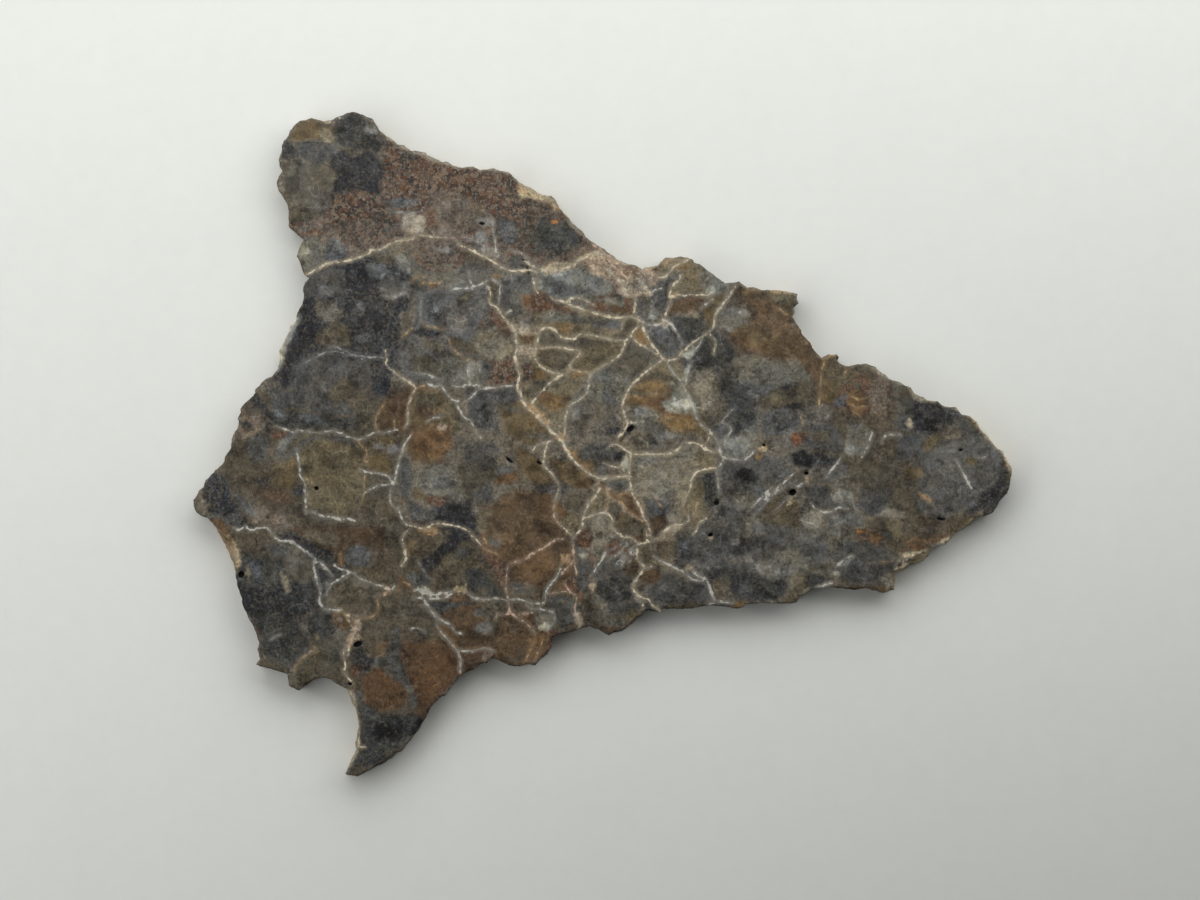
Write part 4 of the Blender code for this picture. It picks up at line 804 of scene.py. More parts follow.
# Veins: each a kind, a width and the points that it runs through.
VEINS = """
cream .12 -21.8,12.3 -20.2,13.2 -19.9,13.2 -19.6,13.4 -19.1,13.3 -17.2,13.9 -16.9,14.2 -16.4,14.2
 -15.2,14.8 -14.6,14.9 -14,15 -13.4,15.3 -12.6,15.2
cream .07 -12.6,15.15 -10.8,15.1
cream .1 -15.9,6.9 -15.8,6.2 -15.8,5.8 -15,5.1 -13.8,4.3 -13.8,3.9 -14.2,2.9 -14.2,1.7 -14.5,1.2
cream .12 -10.5,14.6 -8.2,13.5 -7.8,13.2 -7.1,12.8 -6.5,12.7 -5.3,12.7 -4.8,12.6
cream .12 -8.6,11.8 -8.3,11.4 -8.2,10.9 -8.3,10.5 -8.1,10.2 -7.7,10 -7,9.1 -6.5,8.4 -6.3,7.6 -6.3,6.9
 -6.4,6.3 -6.2,5.6 -6.1,5 -6.2,4.2 -5.7,3.1
cream .09 -4.9,6.8 -4.6,8.2 -4.3,8.5 -3.7,8.5 -3.3,8.1 -2.8,7.8 -2.1,7.7 -1.7,8 -1.1,8 .6,7.7 1.8,7.6
cream .08 -4.9,6.9 -4.2,7.1 -3.4,7.1 -2.6,7 -1.6,6.8 -2.3,6 -2.4,5.5
cream .06 -4.87,6.2 -4.6,5.8 -3.8,5.3 -2.8,5.2
cream .09 -2.4,5.5 -3.9,4.4 -5.2,3
cream .05 -2.36,5.46 -1.2,5.3 -.8,5.1
cream .09 2.9,8.8 2.3,8.3 2.1,7.9 1.7,7.5 1.1,6.4 -.5,5.4 -.9,5 -1,4.3
cream .06 -.97,4.33 -1.33,3.56 -2.46,2.64 -2.77,.8
cream .06 -3.8,10.8 -3.3,10.5 -2.67,10.5 -2.15,10.7 -1.64,10.7 -.6,10.2
cream .12 -2.7,10.3 -.7,9.6 .9,9.3 1.6,9.3 2.1,9.4 2.5,9.2 2.9,8.9
cream .12 2.9,8.9 3,8.4 3.3,7.8 3.6,7.3 4.5,6.2
cream .15 -6.2,4.4 -6,3.7 -5.6,2.8 -4.7,2 -3.8,1 -3.1,.4 -2.4,-.7 -1.4,-1.9 -.3,-2.5
cream .05 -3.7,.28 -4.77,-.03 -5.1,-.44
cream .09 -4,.2 -4.3,-1.1 -4.2,-1.6 -3.4,-2.6 -3.2,-3.1 -3.5,-4.3 -3.5,-5 -3.4,-5.5 -2.1,-6.8
cream .09 -.2,-3.2 -.6,-3.9 -1,-4.3 -1.4,-5.4 -1.5,-6.1 -1.9,-6.6
cream .09 -1.4,-5.4 0,-5 .5,-5.2 .8,-5.6
cream .1 -14.3,-5.9 -13,-6.1 -12.3,-5.8 -11.1,-5.9 -9.9,-6.3 -8.9,-7.3
cream .08 -14.2,-6.2 -14.6,-6.7 -14.6,-7.2 -14.4,-7.8 -14.4,-8.4 -14.7,-8.9
cream .09 -18.9,-15 -18.9,-15.5 -18.8,-16.2 -18.9,-16.6 -18.5,-17.2 -18.2,-17.5
cream .07 -18.5,-14.8 -18.6,-15.4
cream .07 -17.77,-22.1 -17.36,-22.13
cream .06 -5.08,12.13 -4.97,11.5 -4.72,11.1
cream .09 1.1,.1 1.2,.6 1.6,1 1.8,1.5 1.7,2 1.5,2.5 1.5,3 1.8,3.8 2.2,4.4 3.3,5.4 4.4,6.2
cream .07 1.4,8.44 1.46,8.95 1.7,9.26
cream .07 2.1,7.8 4.1,6.5
cream .07 2.4,9.5 2.3,10 2.4,10.5 2.3,10.8
cream .08 4,12.2 4.5,12.2 5,12.7 5.4,13.1 6.4,13.6
cream .08 5.7,12.4 5.6,12 5.2,11.7 5,11.4 4.9,10.9 5,10.7
cream .07 5,10.7 5.4,10.9 6,10.9 6.6,11 7.6,10.9 7.9,11.1
cream .07 5,10.5 4.6,9.4 4.4,9.2
cream .08 5.5,6.4 6.4,7.3 8,8.4
cream .09 8,8.4 8.1,8.6 8.2,9.2 8.4,9.7 9.6,11.3 9.7,11.6
cream .08 7.9,8 8.2,7.7 8.3,7.2 8.1,6.6
cream .09 4.6,6.1 5.5,6.3
cream .12 1.1,0 2.1,-.6 3.5,-.7 4.3,-.7 5,-.6 5.9,0 6.4,.1 6.8,.1 7.7,-.4 8.2,-.6
cream .07 7.82,.9 7.77,.5 7.5,-.03
cream .09 8.2,-1.7 7.2,-1.9 6.8,-2.1 6.5,-2.6 6.4,-3.2 5.9,-4.4
cream .08 6.1,-5 6.3,-5.4 6,-5.8 5,-6 4.1,-6.8 3.1,-7.2 2.6,-7.2
cream .07 7.6,-5.4 7.1,-5.7 6.9,-6.2 6.6,-6.6
cream .09 -.5,-2.4 0,-2.5 1.7,-2.3 2.1,-2.4
cream .09 2.1,-.7 2,-2.2 2.1,-3.1 2.2,-3.6 2.8,-4.7 3,-5.4 3.4,-6 3.6,-7
cream .07 3.2,-6.2 3.26,-6.95
cream .06 .33,-.33 .64,-.03 1.1,0
cream .05 .03,-1.36 1.15,-1.67 1.56,-1.26 1.87,-.74
cream .05 3.1,-3.6 3.6,-3.56 4.03,-3.97
cream .09 .6,-6 1.4,-6.7 2,-6.8 2.6,-7.2
cream .09 2.5,-7.4 2.6,-8.4 2.9,-8.8 3,-9.1 2.3,-10.1 2.2,-10.5 2.9,-11.2 3.4,-11.4 3.7,-11.8 4.1,-12.1
 4.3,-12.3
cream .07 3.05,-9.1 3.6,-8.9
cream .07 2.95,-11.56 3,-12.08
cream .09 -18.2,-19 -18,-20 -17.9,-21.9 -18.1,-22.7 -18.4,-23.4
cream .07 27.1,2.05 28.1,.95 28.9,-.15 29.35,-.55 29.9,-1.8
cream .07 -23.55,5.9 -23.6,6.5 -23.4,7.2 -22.75,8.6 -22.3,9.2
cream .07 -5.7,13.4 -4.9,12.9 -4.2,12.75 -3.5,12.75 -2.2,13
white .07 -13.95,.8 -14.15,.4 -14.46,0 -14.67,-.54 -15.3,-2.9
white .07 -23.8,1.35 -22.6,.9 -22.1,1 -20.8,.85 -19.9,1 -19.4,.9 -18.5,.5 -17.7,.35
white .07 -17.7,.35 -16.5,.85 -16,.85 -15,1.1
white .06 -22.35,-.3 -22.1,-1.7 -22.15,-2.2 -21.8,-2.7 -21.7,-3.3 -21.65,-3.8 -21.75,-4.7 -21.6,-5
white .07 -21.6,-4.9 -21.1,-5 -20.6,-5.2 -19.5,-5.35 -19.1,-5.5 -18.6,-5.45 -18.1,-5.55
white .07 -17.7,-1.8 -17.2,-2 -16.2,-2.1 -15.7,-2.3 -15.4,-2.8
white .06 -17.3,-3.5 -16.9,-3.2 -16.3,-3 -15.4,-2.9
white .07 -15.5,-3.4 -15.5,-4 -15.3,-4.5 -14.9,-4.8 -14.7,-5.4 -14.3,-5.9
white .08 8.5,.1 8.6,-.4 8.9,-.9 10.3,-1.1 11.2,-.4
white .07 8.9,-1.1 8.4,-1.9 8.4,-2.5 8.5,-3.1 8.5,-3.6
white .08 20.4,.1 20.6,.5 21,.7 21.8,.7
white .06 19.7,.87 19.6,.35 19.34,-.29 18.97,-.92
white .07 15.2,-4.3 15.6,-4.7 16.2,-5 16.8,-4.9 17.3,-4.6 17.9,-4.7
white .12 -27.1,-6 -26.6,-6.2 -26.1,-6 -25.7,-6.2 -25,-6.1 -24.4,-6.2 -23.6,-7 -22.6,-7.2 -21.2,-8.2
 -20.9,-8.5
white .12 -20.9,-8.5 -20.5,-8.7 -19.7,-9.6
white .11 -21.1,-8.5 -21.1,-9 -20.8,-10.2 -20.6,-10.8 -20.7,-11.5 -20.4,-11.9 -20,-12.1 -19.1,-12.1
white .09 -19.6,-8.8 -19.2,-9.1 -18.2,-9.4 -17.7,-9.8 -16.1,-10.4 -15.8,-10.6 -15.4,-10.6 -15.2,-10.3
white .08 -20,-10.6 -19.8,-10.2 -19.4,-9.9 -18.5,-9.4 -18.1,-9.4
white .07 -20.15,-10.1 -20.1,-10.6 -20.2,-11
white .09 -10.4,15.2 -9.9,15.1 -9.1,14.8
white .08 -8,16.4 -8,15.6 -7.8,14.5 -7.8,14.1
white .07 -6.8,14.2 -6.4,14.1 -6,14 -5.7,13.8 -5.3,13.2
white .08 -9.8,12.6 -9.7,12 -9.5,11.6 -9.2,11.5 -8.8,11.8 -8.4,12 -8,12.1 -7.4,11.6
white .07 -11.08,11.31 -10.46,11.41 -9.44,11.41
white .07 -7.5,11.6 -7.6,10.3
white .07 -7.2,9.56 -6.67,9.82
white .12 -2,13.2 -1.6,13.5 -1,13.8 -.4,14 0,13.9
white .07 -6.67,12.4 -6.6,12
white .09 -16,10.9 -15.4,10.8 -14.9,10.9 -14.5,11.1 -14.2,10.9
white .08 -9.7,6 -9.8,5.5 -9.7,4.5
white .08 -10.9,4.3 -10.5,4.2 -9.4,4.4 -8.9,4.3
white .07 -10.8,4.7 -10.5,5.05
white .07 -9,5.8 -8.97,5.26
white .08 -13.9,5.3 -13.1,5.2 -12,4.8
white .08 -10.3,3 -9.4,3.6 -9.1,4 -7.8,4.2 -6.5,4.3
white .07 -12.8,4.44 -12.2,4.2 -11.8,4.28 -11,3.3 -10.5,3.2
white .08 -10.7,3 -10.1,2 -9.6,1.7 -9.2,.8 -8.9,.5
white .07 -12.8,1.7 -12.4,1.9 -11.9,2
white .12 -13.8,-10.6 -13,-10.7 -12.5,-11 -11.4,-10.8 -10.8,-10.6
white .12 -9.9,-10.8 -9.4,-11.2 -8.8,-11.3 -7.5,-11.3 -6.9,-11.4
white .08 -13.8,-11.2 -12.4,-11.3 -11.5,-11.2 -10.9,-10.8
white .09 -13.2,-10.9 -13,-11.5 -12.7,-12 -12.2,-12.5 -11.2,-13.2 -10.7,-13.7 -10.3,-13.8
white .08 -12.1,-13.1 -11.9,-13.6 -10.5,-15.3 -10.4,-16.7
white .08 -10.8,-15 -9.8,-15.1 -8.6,-14.9 -7.9,-15.1
white .09 -6.9,-11.4 -6.3,-11.3 -5.1,-11.6 -4.5,-11.6 -4.2,-11.4 -4.1,-10.7 -3.2,-9.4 -3.1,-9
white .09 -5.6,-11.7 -5.2,-12 -4.1,-12.1 -3.7,-12.3 -3.5,-12.8 -3.7,-13.2
white .07 -.9,-9.7 .33,-7.77
white .08 1.1,11.3 2.2,10.8
white .09 .3,12.9 1.2,12 1.6,11.5
white .07 .33,10.6 1.36,10.2
white .07 3.5,11.05 3.9,11.3 4.33,11.4
white .07 3,8.95 3.5,8.74 4.03,8.74 4.54,9.05
white .07 4.6,9.1 5.2,8.5 5.9,7.3
white .07 7.2,9.97 8.03,10.6
white .08 7.3,7.8 7.1,7.3 6.2,6.4
white .08 6.5,6 6.3,5.5 6.2,4.7 6,4.2
white .12 4.7,6 6.1,3.9 7,1.8 7.4,1.3 7.8,1 8.5,.2
white .07 8.64,1.6 9.15,1.46 9.36,1 9,.5 8.64,.23
white .12 3.8,-8.2 4.2,-8.5 4.7,-8.7 6.1,-9.5 6.5,-9.8 7,-9.9 7.3,-10
white .11 6.6,-9.3 7.1,-9.7 7.6,-9.9 7.9,-10.7 8.1,-11.2 8.4,-11.5 9.5,-11.6
white .07 8.23,-11.56 7.7,-11.77
white .07 1.36,-8.9 2.18,-7.67
white .08 14.5,-11.1 15.2,-10.7 16.8,-10.1
white .14 17.1,-8.9 18,-8.2 18.3,-8.1
white .07 16.38,1.93 16.75,2.46
white .07 17.5,-.82 17.17,-1.35 16.75,-1.77 16.38,-2.4
white .07 25.8,-1.13 26.96,-3.2
white .07 25.2,-.5 25.74,-.45
white .07 27.2,-.8 27.64,-1 28.17,-.8
white .07 24.05,-7.49 25,-7.27
white .04 10.9,-4.6 12.4,-3.1
white .04 11.9,-4 14,-2.1
white .05 14.2,-3.1 14.8,-2.7
white .07 -24.3,-14.3 -23.9,-14 -23.5,-13.9
white .07 -14.1,-13.5 -13.6,-13.4 -13,-13.65
tan .09 16.3,6.3 16.2,5.8 16,5.3 15.8,2.9
tan .07 17.9,5.64 17.7,5
tan .07 -16,2.9 -16.4,2.3 -16.6,1.6 -16.5,1.1 -16.6,.9
tan .07 -21.7,-2.4 -20.95,-3
tan .07 -17.4,-2.3 -17.4,-3.6 -17.9,-4.9
tan .07 -17.9,.2 -17.2,-.6 -17.4,-1.1 -17.2,-1.3
tan .07 -15.2,1.7 -15.2,1.3
tan .07 -13.7,4 -13,4.3
tan .08 -15.7,-10.7 -16.4,-11.2 -16.4,-12.2 -16.8,-12.6 -17.3,-12.7 -17.7,-12.7
tan .07 -21.3,-15.1 -22.2,-15.9 -22.6,-16.5
tan .07 -21.05,-14.74 -20.95,-15.2
tan .07 -19.2,-8 -19.1,-8.7
tan .08 -13.9,11.9 -13.7,12.2 -13.3,12.3 -13,12.2
tan .07 -13.2,11.8 -11.9,11.8
tan .09 -13.1,8.9 -12.7,8.6 -12.3,8.5 -11.6,8.4
tan .09 -11.5,7.9 -11.2,7.6 -11,7 -10.2,6.4 -9.7,6.2
tan .07 -14.6,7.9 -13.9,8.5
tan .06 -14.67,-4 -14.46,-4.4
tan .07 4,-4.2 4.4,-4.6
tan .08 5.9,-4.4 6.1,-5
tan .06 6.64,-4.33 6.85,-4.74
tan .09 6.8,-5.3 6.6,-5.8
tan .09 -.1,-3.1 .3,-3.4 .5,-3.8 1.5,-4.3 1.8,-4.8 2.9,-5.6 3.3,-6.1 3.5,-6.6
tan .08 .3,-3.5 1.1,-3.7 1.9,-3.5
tan .07 .4,-3.9 .33,-4.74
tan .08 12.6,10.1 13.9,9.3
tan .07 14.5,2.1 14.6,1.5
tan .08 23.2,-3.6 23.7,-3.9 24.1,-4.4
tan .09 20.3,-8.6 21.2,-8.5
tan .07 -15,-10.65 -14.7,-10.8
tan .07 -14.5,-10.05 -14.05,-10.3 -13.8,-10.85
tan .08 1.1,8.2 0,8.5
tan .09 -8.9,-7.3 -8.5,-7.7 -7.5,-8.1
tan .07 -8.7,-6.5 -8.5,-7.3
tan .07 -4.9,-14.2 -5.6,-15.9
tan .07 -4.3,-14.1 -4.9,-15.7
tan .06 18.1,3.6 18.7,3.3 19.3,3.4
tan .06 18,3 18.6,2.7 19.2,2.8
tan .05 18.3,2.4 18.8,2.2
pink .12 -7,-9.4 -6.9,-8.9 -6.5,-8.6 -5.8,-8.5 -5.3,-8.1 -4.2,-7.5 -3.5,-7 -2.8,-6.9
pink .11 -7,-9.4 -7,-10.6 -6.9,-11.3 -6.8,-11.8 -6.6,-12.3 -5.1,-13.5 -4.9,-13.9
pink .09 -2.2,-7 -2.1,-8.4 -2,-8.9 -1.9,-9.5
pink .09 -2.1,-8.5 -3,-9.5
pink .09 -2.8,-10.1 -2.5,-10.6 -1.9,-11.2 -2,-12.1 -1.5,-13.2
pink .07 -3.9,-10.9 -2.3,-10.74
pink .07 -7.6,-12.5 -6.5,-12.3
pink .07 -6.05,-12.4 -5.1,-12.3
pink .07 -8.7,-15.4 -8.7,-15.7
pink .12 -.7,14.6 .5,13.8 1.7,13.2
pink .14 .4,13.5 1.4,12.5 1.9,12.1
pink .12 -.9,13.3 .1,12.4
pink .07 -16,-11.1 -15.4,-10.6
pink .07 -16,-10.3 -15.4,-10.65
rust .08 -1.6,-10.8 -1.6,-11.6
rust .07 -1.3,-7.2 -.9,-8 -.6,-8.8
rust .07 .9,-7.2 2.1,-8.1
rust .07 1.6,-4.9 1,-6
grey .05 9.77,2.7 9.26,2.33 8.64,1.6
grey .05 10.6,5.77 10.08,5.15
grey .06 -21.8,5.95 -20.1,6.75 -19,6.7 -18.7,6.45
grey .06 -20,7.1 -19.4,7.1 -17.5,6.2
grey .06 -18.9,6.85 -18.2,6.6 -17.5,6.45 -16.1,6.35
grey .08 -15.4,17 -14.3,16.9 -13.2,17.1
grey .08 -13.2,10.9 -13.3,10.1 -13.3,9
grey .07 -13.5,-8.5 -12.8,-9.6 -12.4,-9.9
grey .07 15.2,-2 15.8,-1.2
grey .07 -5.9,8.9 -5.4,8.7
grey .03 11,-5.2 13.1,-3.3 14.2,-2.6
grey .03 12.5,-4.9 14.9,-2.7
grey .04 2.4,-7.3 1,-8.7
grey .04 2.1,-7.2 .3,-8.6
grey .04 2.6,-7.4 1.9,-8.9
grey .04 1.8,-7.1 0,-7.9
grey .04 17.6,-3.6 18.2,-4.1 18.5,-4.8
dark .08 -22,22.1 -21.3,22.1 -20.6,22
dark .08 -5.8,13.6 -5.3,12.5
dark .07 5,8.4 5.9,7
dark .07 24.3,-5.5 25.2,-5.5
dark .07 -6.9,10.4 -6.5,9.8
"""

def reflectance(red, green, blue):
    """The share of light that a surface gives back which looks like this tone on the stage."""
    shares = []
    for level in (red, green, blue):
        seen = level / 255.0
        linear = seen / 12.92 if seen <= 0.04045 else ((seen + 0.055) / 1.055) ** 2.4
        shares.append(linear / STAGE_BRIGHTNESS)
    return tuple(shares)


def colour_setting(name, rgb, description):
    return bpy.props.FloatVectorProperty(
        name=name, description=description, subtype="COLOR", size=3, min=0.0, max=1.0,
        default=reflectance(*rgb),
    )


def length_setting(name, millimetres, description):
    return bpy.props.FloatProperty(
        name=name, description=description, subtype="DISTANCE", unit="LENGTH", min=0.0,
        default=millimetres * MM,
    )


def share_setting(name, share, description):
    return bpy.props.FloatProperty(
        name=name, description=description, subtype="FACTOR", min=0.0, max=1.0, default=share
    )


def power_setting(name, watts, description):
    return bpy.props.FloatProperty(
        name=name, description=description, unit="POWER", min=0.0, default=watts
    )


def place_setting(name, millimetres, description):
    return bpy.props.FloatVectorProperty(
        name=name, description=description, subtype="XYZ", unit="LENGTH",
        default=[value * MM for value in millimetres],
    )


def words(name):
    """A setting's name as a person would write it."""
    return name.replace("_", " ").capitalize()


class RockTones(bpy.types.PropertyGroup):
    """Colours of the clasts and the matrix between them."""

    __annotations__ = {
        name: colour_setting(words(name), tone[:3], f"Rock painted in the tone {words(name).lower()}")
        for name, tone in TONES.items()
    }


class VeinTones(bpy.types.PropertyGroup):
    """Colours of the veins."""

    __annotations__ = {
        name: colour_setting(words(name), tone, f"Veins of the kind {words(name).lower()}")
        for name, tone in VEIN_TONES.items()
    }


class RockSizes(bpy.types.PropertyGroup):
    """Sizes of the mesh and of the relief on it."""

    face_step: length_setting("Face step", 0.18, "Distance between points on the upper face")
    back_step: length_setting("Back step", 0.36, "Distance between points on the back face")
    vein_step: length_setting("Vein step", 0.15, "Distance between points along a vein")
    vein_margin: length_setting("Vein margin", 0.05, "Rock beside a vein that its row of points takes in")
    vein_shift: length_setting("Vein shift", 0.9, "How far a vein wanders on its way through the slice")
    edge_wander: length_setting("Edge wander", 0.16, "How far a clast's edge strays from its drawn shape")
    relief: length_setting("Relief", 0.035, "Depth of the low relief where grains have torn out")
    rim_relief: length_setting("Rim relief", 0.2, "Depth of the lumps on the broken rim")
    wetness: share_setting("Wetness", 0.35, "Gloss of the smooth clasts")
    rim_cuts: bpy.props.IntProperty(
        name="Rim cuts", description="Points added along each edge of the rim", default=3, min=0, max=4
    )


class StageSettings(bpy.types.PropertyGroup):
    """The floor, the light and the camera."""

    paper: bpy.props.FloatVectorProperty(
        name="Paper", description="Colour of the floor", subtype="COLOR", size=3, min=0.0, max=1.0,
        default=(0.786, 0.800, 0.757),
    )
    floor_size: length_setting("Floor size", 1200.0, "Side of the square floor")
    panel_width: length_setting("Panel width", 200.0, "Width of each soft light panel")
    panel_depth: length_setting("Panel depth", 100.0, "Depth of each soft light panel")
    back_power: power_setting("Back power", 0.128, "Power of the panel behind the slice")
    back_place: place_setting("Back place", (25.0, 70.0, 70.0), "Middle of the panel behind the slice")
    side_power: power_setting("Side power", 0.086, "Power of the panel on the left")
    side_place: place_setting("Side place", (-84.0, 8.0, 76.0), "Middle of the panel on the left")
    room_light: bpy.props.FloatProperty(
        name="Room light", description="Strength of the even light from all round", default=0.062, min=0.0
    )
    view_width: length_setting("View width", 87.72, "Width of the picture, measured on the upper face")
    view_middle: place_setting("View middle", (-0.18, -0.40, 0.0), "Point in the middle of the picture")
    lens: bpy.props.FloatProperty(
        name="Lens", description="Focal length in millimetres", default=135.0, min=20.0
    )


class Wire:
    """A number that comes out of a node, and can stand in a formula."""

    def __init__(self, tree, socket):
        self.tree = tree
        self.socket = socket

    def calculate(self, operation, first, second=0.0):
        return self.tree.node("ShaderNodeMath", {"operation": operation}, {0: first, 1: second})

    def __add__(self, other):
        return self.calculate("ADD", self, other)

    def __radd__(self, other):
        return self.calculate("ADD", other, self)

    def __sub__(self, other):
        return self.calculate("SUBTRACT", self, other)

    def __rsub__(self, other):
        return self.calculate("SUBTRACT", other, self)

    def __mul__(self, other):
        return self.calculate("MULTIPLY", self, other)

    def __rmul__(self, other):
        return self.calculate("MULTIPLY", other, self)

    def __truediv__(self, other):
        return self.calculate("DIVIDE", self, other)

    def __pow__(self, other):
        return self.calculate("POWER", self, other)

    def lowest(self, other):
        return self.calculate("MINIMUM", self, other)

    def highest(self, other):
        return self.calculate("MAXIMUM", self, other)

    def between(self, low, high):
        """0 below low, 1 above high and a smooth rise between; high may be the smaller."""
        if low > high:
            return 1.0 - self.between(high, low)
        settings = {"interpolation_type": "SMOOTHSTEP", "clamp": True}
        return self.tree.node(
            "ShaderNodeMapRange", settings, {"Value": self, "From Min": low, "From Max": high}
        )


class Tree:
    """Adds nodes to a shader's or a geometry node group's tree."""

    def __init__(self, nodes):
        self.tree = nodes

    def node(self, kind, settings, inputs, output=0):
        """A node of this kind: its settings are set first, then its sockets."""
        made = self.tree.nodes.new(kind)
        for name, value in settings.items():
            setattr(made, name, value)
        for key, value in inputs.items():
            socket = made.inputs[key]
            if isinstance(value, Wire):
                self.tree.links.new(value.socket, socket)
            else:
                socket.default_value = value
        return Wire(self, made.outputs[output])

    def blend(self, first, second, share):
        """The colour that lies this share of the way from the first to the second."""
        ends = [c if isinstance(c, Wire) else (*c, 1.0) for c in (first, second)]
        settings = {"data_type": "RGBA", "clamp_factor": True}
        return self.node("ShaderNodeMix", settings, {0: share, 6: ends[0], 7: ends[1]}, 2)

    def shade(self, colour, brightness):
        """The colour made this many times as bright."""
        settings = {"operation": "SCALE"}
        return self.node("ShaderNodeVectorMath", settings, {0: colour, "Scale": brightness})

    def tinted(self, colour, tint):
        """The colour with its red, green and blue each multiplied by the tint's."""
        return self.node("ShaderNodeVectorMath", {"operation": "MULTIPLY"}, {0: colour, 1: tint})

    def parts(self, colour):
        """The red, green and blue of a colour, or the three numbers of a place."""
        split = self.node("ShaderNodeSeparateXYZ", {}, {0: colour}).socket.node
        return [Wire(self, split.outputs[i]) for i in range(3)]

    def lumps(self, place, size, detail=2.0, rough=0.55, output=0, seed=0.0):
        """Cloudy noise from 0 to 1 with lumps of about this size in metres."""
        settings = {"noise_dimensions": "4D"}
        inputs = {"Vector": place, "W": seed, "Scale": 1.0 / size, "Detail": detail, "Roughness": rough}
        return self.node("ShaderNodeTexNoise", settings, inputs, output)

    def cells(self, place, size, feature="F1", output=0):
        """Rounded cells of about this size in metres."""
        inputs = {"Vector": place, "Scale": 1.0 / size, "Randomness": 1.0}
        return self.node("ShaderNodeTexVoronoi", {"feature": feature}, inputs, output)

    def shifted(self, place, size, amount, detail=1.0):
        """The place moved by cloudy noise, up to about this far in metres."""
        cloud = self.lumps(place, size, detail, output="Color")
        subtract = {"operation": "SUBTRACT"}
        centred = self.node("ShaderNodeVectorMath", subtract, {0: cloud, 1: (0.5, 0.5, 0.5)})
        moved = self.shade(centred, amount * 2.0)
        return self.node("ShaderNodeVectorMath", {"operation": "ADD"}, {0: place, 1: moved})


def numbers(text):
    """The numbers in a shape written as words, with one row for each 'x,y' pair."""
    return np.array([[float(value) for value in spot.split(",")] for spot in text.split()])


def smooth_route(points, step):
    """Points at even steps along a smooth curve through these points."""
    ends = np.vstack([2 * points[0] - points[1], points, 2 * points[-1] - points[-2]])
    curve = []
    for a, b, c, d in zip(ends, ends[1:], ends[2:], ends[3:]):
        for t in np.arange(0.0, 1.0, 0.125):
            bend = (2 * a - 5 * b + 4 * c - d) * t * t + (3 * b - a - 3 * c + d) * t ** 3
            curve.append(b + 0.5 * ((c - a) * t + bend))
    curve = np.array(curve + [points[-1]])
    run = np.concatenate([[0.0], np.cumsum(np.linalg.norm(np.diff(curve, axis=0), axis=1))])
    count = max(2, int(round(run[-1] / step)) + 1)
    even = np.linspace(0.0, run[-1], count)
    return np.column_stack([np.interp(even, run, curve[:, axis]) for axis in range(2)])


def cloud(xy, size, seed):
    """Noise from about -1 to 1 at these points, with lumps of about this size."""
    return np.array([noise.noise(Vector((x, y, seed))) for x, y in (xy / size).tolist()])


def vein_strands(step):
    """Each vein as (kind, its points, its half width at each point), in millimetres."""
    strands = []
    for line in VEINS.strip().replace("\n ", " ").splitlines():
        kind, width, *spots = line.split()
        route = smooth_route(numbers(" ".join(spots)), step)
        along = np.gradient(route, axis=0)
        along /= np.maximum(np.linalg.norm(along, axis=1, keepdims=True), 1e-9)
        across = np.column_stack([-along[:, 1], along[:, 0]])
        sway = (cloud(route, VEIN_SWAY_SIZE, 3.0) + cloud(route, 3.0 * VEIN_SWAY_SIZE, 6.0)) * VEIN_SWAY
        ends = np.minimum(np.arange(len(route)), np.arange(len(route))[::-1]) * step
        taper = np.clip(0.4 + ends / VEIN_TAPER, 0.0, 1.0)
        half = 0.5 * float(width) * taper * (1.0 + 1.1 * cloud(route, VEIN_SWAY_SIZE, 8.0))
        strands.append((kind, route + across * (sway * (taper - 0.4))[:, None], half, across))
    return strands


def face_points(step, vein_rows, loops):
    """Points inside the rim at which a face is divided: rows along veins, and a lattice between them."""
    rim = np.vstack(loops)
    low = rim.min(axis=0)
    high = rim.max(axis=0)
    rows = np.arange(low[1], high[1], step * math.sqrt(0.75))
    lattice = []
    for number, y in enumerate(rows):
        across = np.arange(low[0] + 0.5 * step * (number % 2), high[0], step)
        lattice.append(np.column_stack([across, np.full(len(across), y)]))
    lattice = np.vstack(lattice)
    chance = np.random.default_rng(LATTICE_SEED)
    lattice += chance.uniform(-0.22, 0.22, lattice.shape) * step
    edges = [pair for loop in loops for pair in zip(loop, np.roll(loop, -1, axis=0))]
    taken = {}
    reach = 0.62 * step
    kept = []
    vein_rows = vein_rows[enclosed(vein_rows, edges)]
    lattice = lattice[enclosed(lattice, edges)]
    for group, gap in ((rim, 0.0), (vein_rows, 0.42 * step), (lattice, reach)):
        for x, y in group.tolist():
            cell = (int(x // reach), int(y // reach))
            near = (taken.get((cell[0] + i, cell[1] + j), ()) for i in (-1, 0, 1) for j in (-1, 0, 1))
            if gap and any((x - p) ** 2 + (y - q) ** 2 < gap * gap for spots in near for p, q in spots):
                continue
            taken.setdefault(cell, []).append((x, y))
            if gap:
                kept.append((x, y))
    return kept


def boundary_loops(shape, height):
    """Closed runs of the open edges at this height, each as its vertices in order."""
    edges = [e for e in shape.edges if e.is_boundary and all(abs(v.co.z - height) < 1e-6 for v in e.verts)]
    around = {}
    for edge in edges:
        for vert in edge.verts:
            around.setdefault(vert, []).append(edge.other_vert(vert))
    loops = []
    left = set(around)
    while left:
        start = next(iter(left))
        loop = [start]
        before = None
        while True:
            ahead = [v for v in around[loop[-1]] if v is not before]
            before = loop[-1]
            if ahead[0] is start:
                break
            loop.append(ahead[0])
        left -= set(loop)
        loops.append(loop)
    return sorted(loops, key=len, reverse=True)


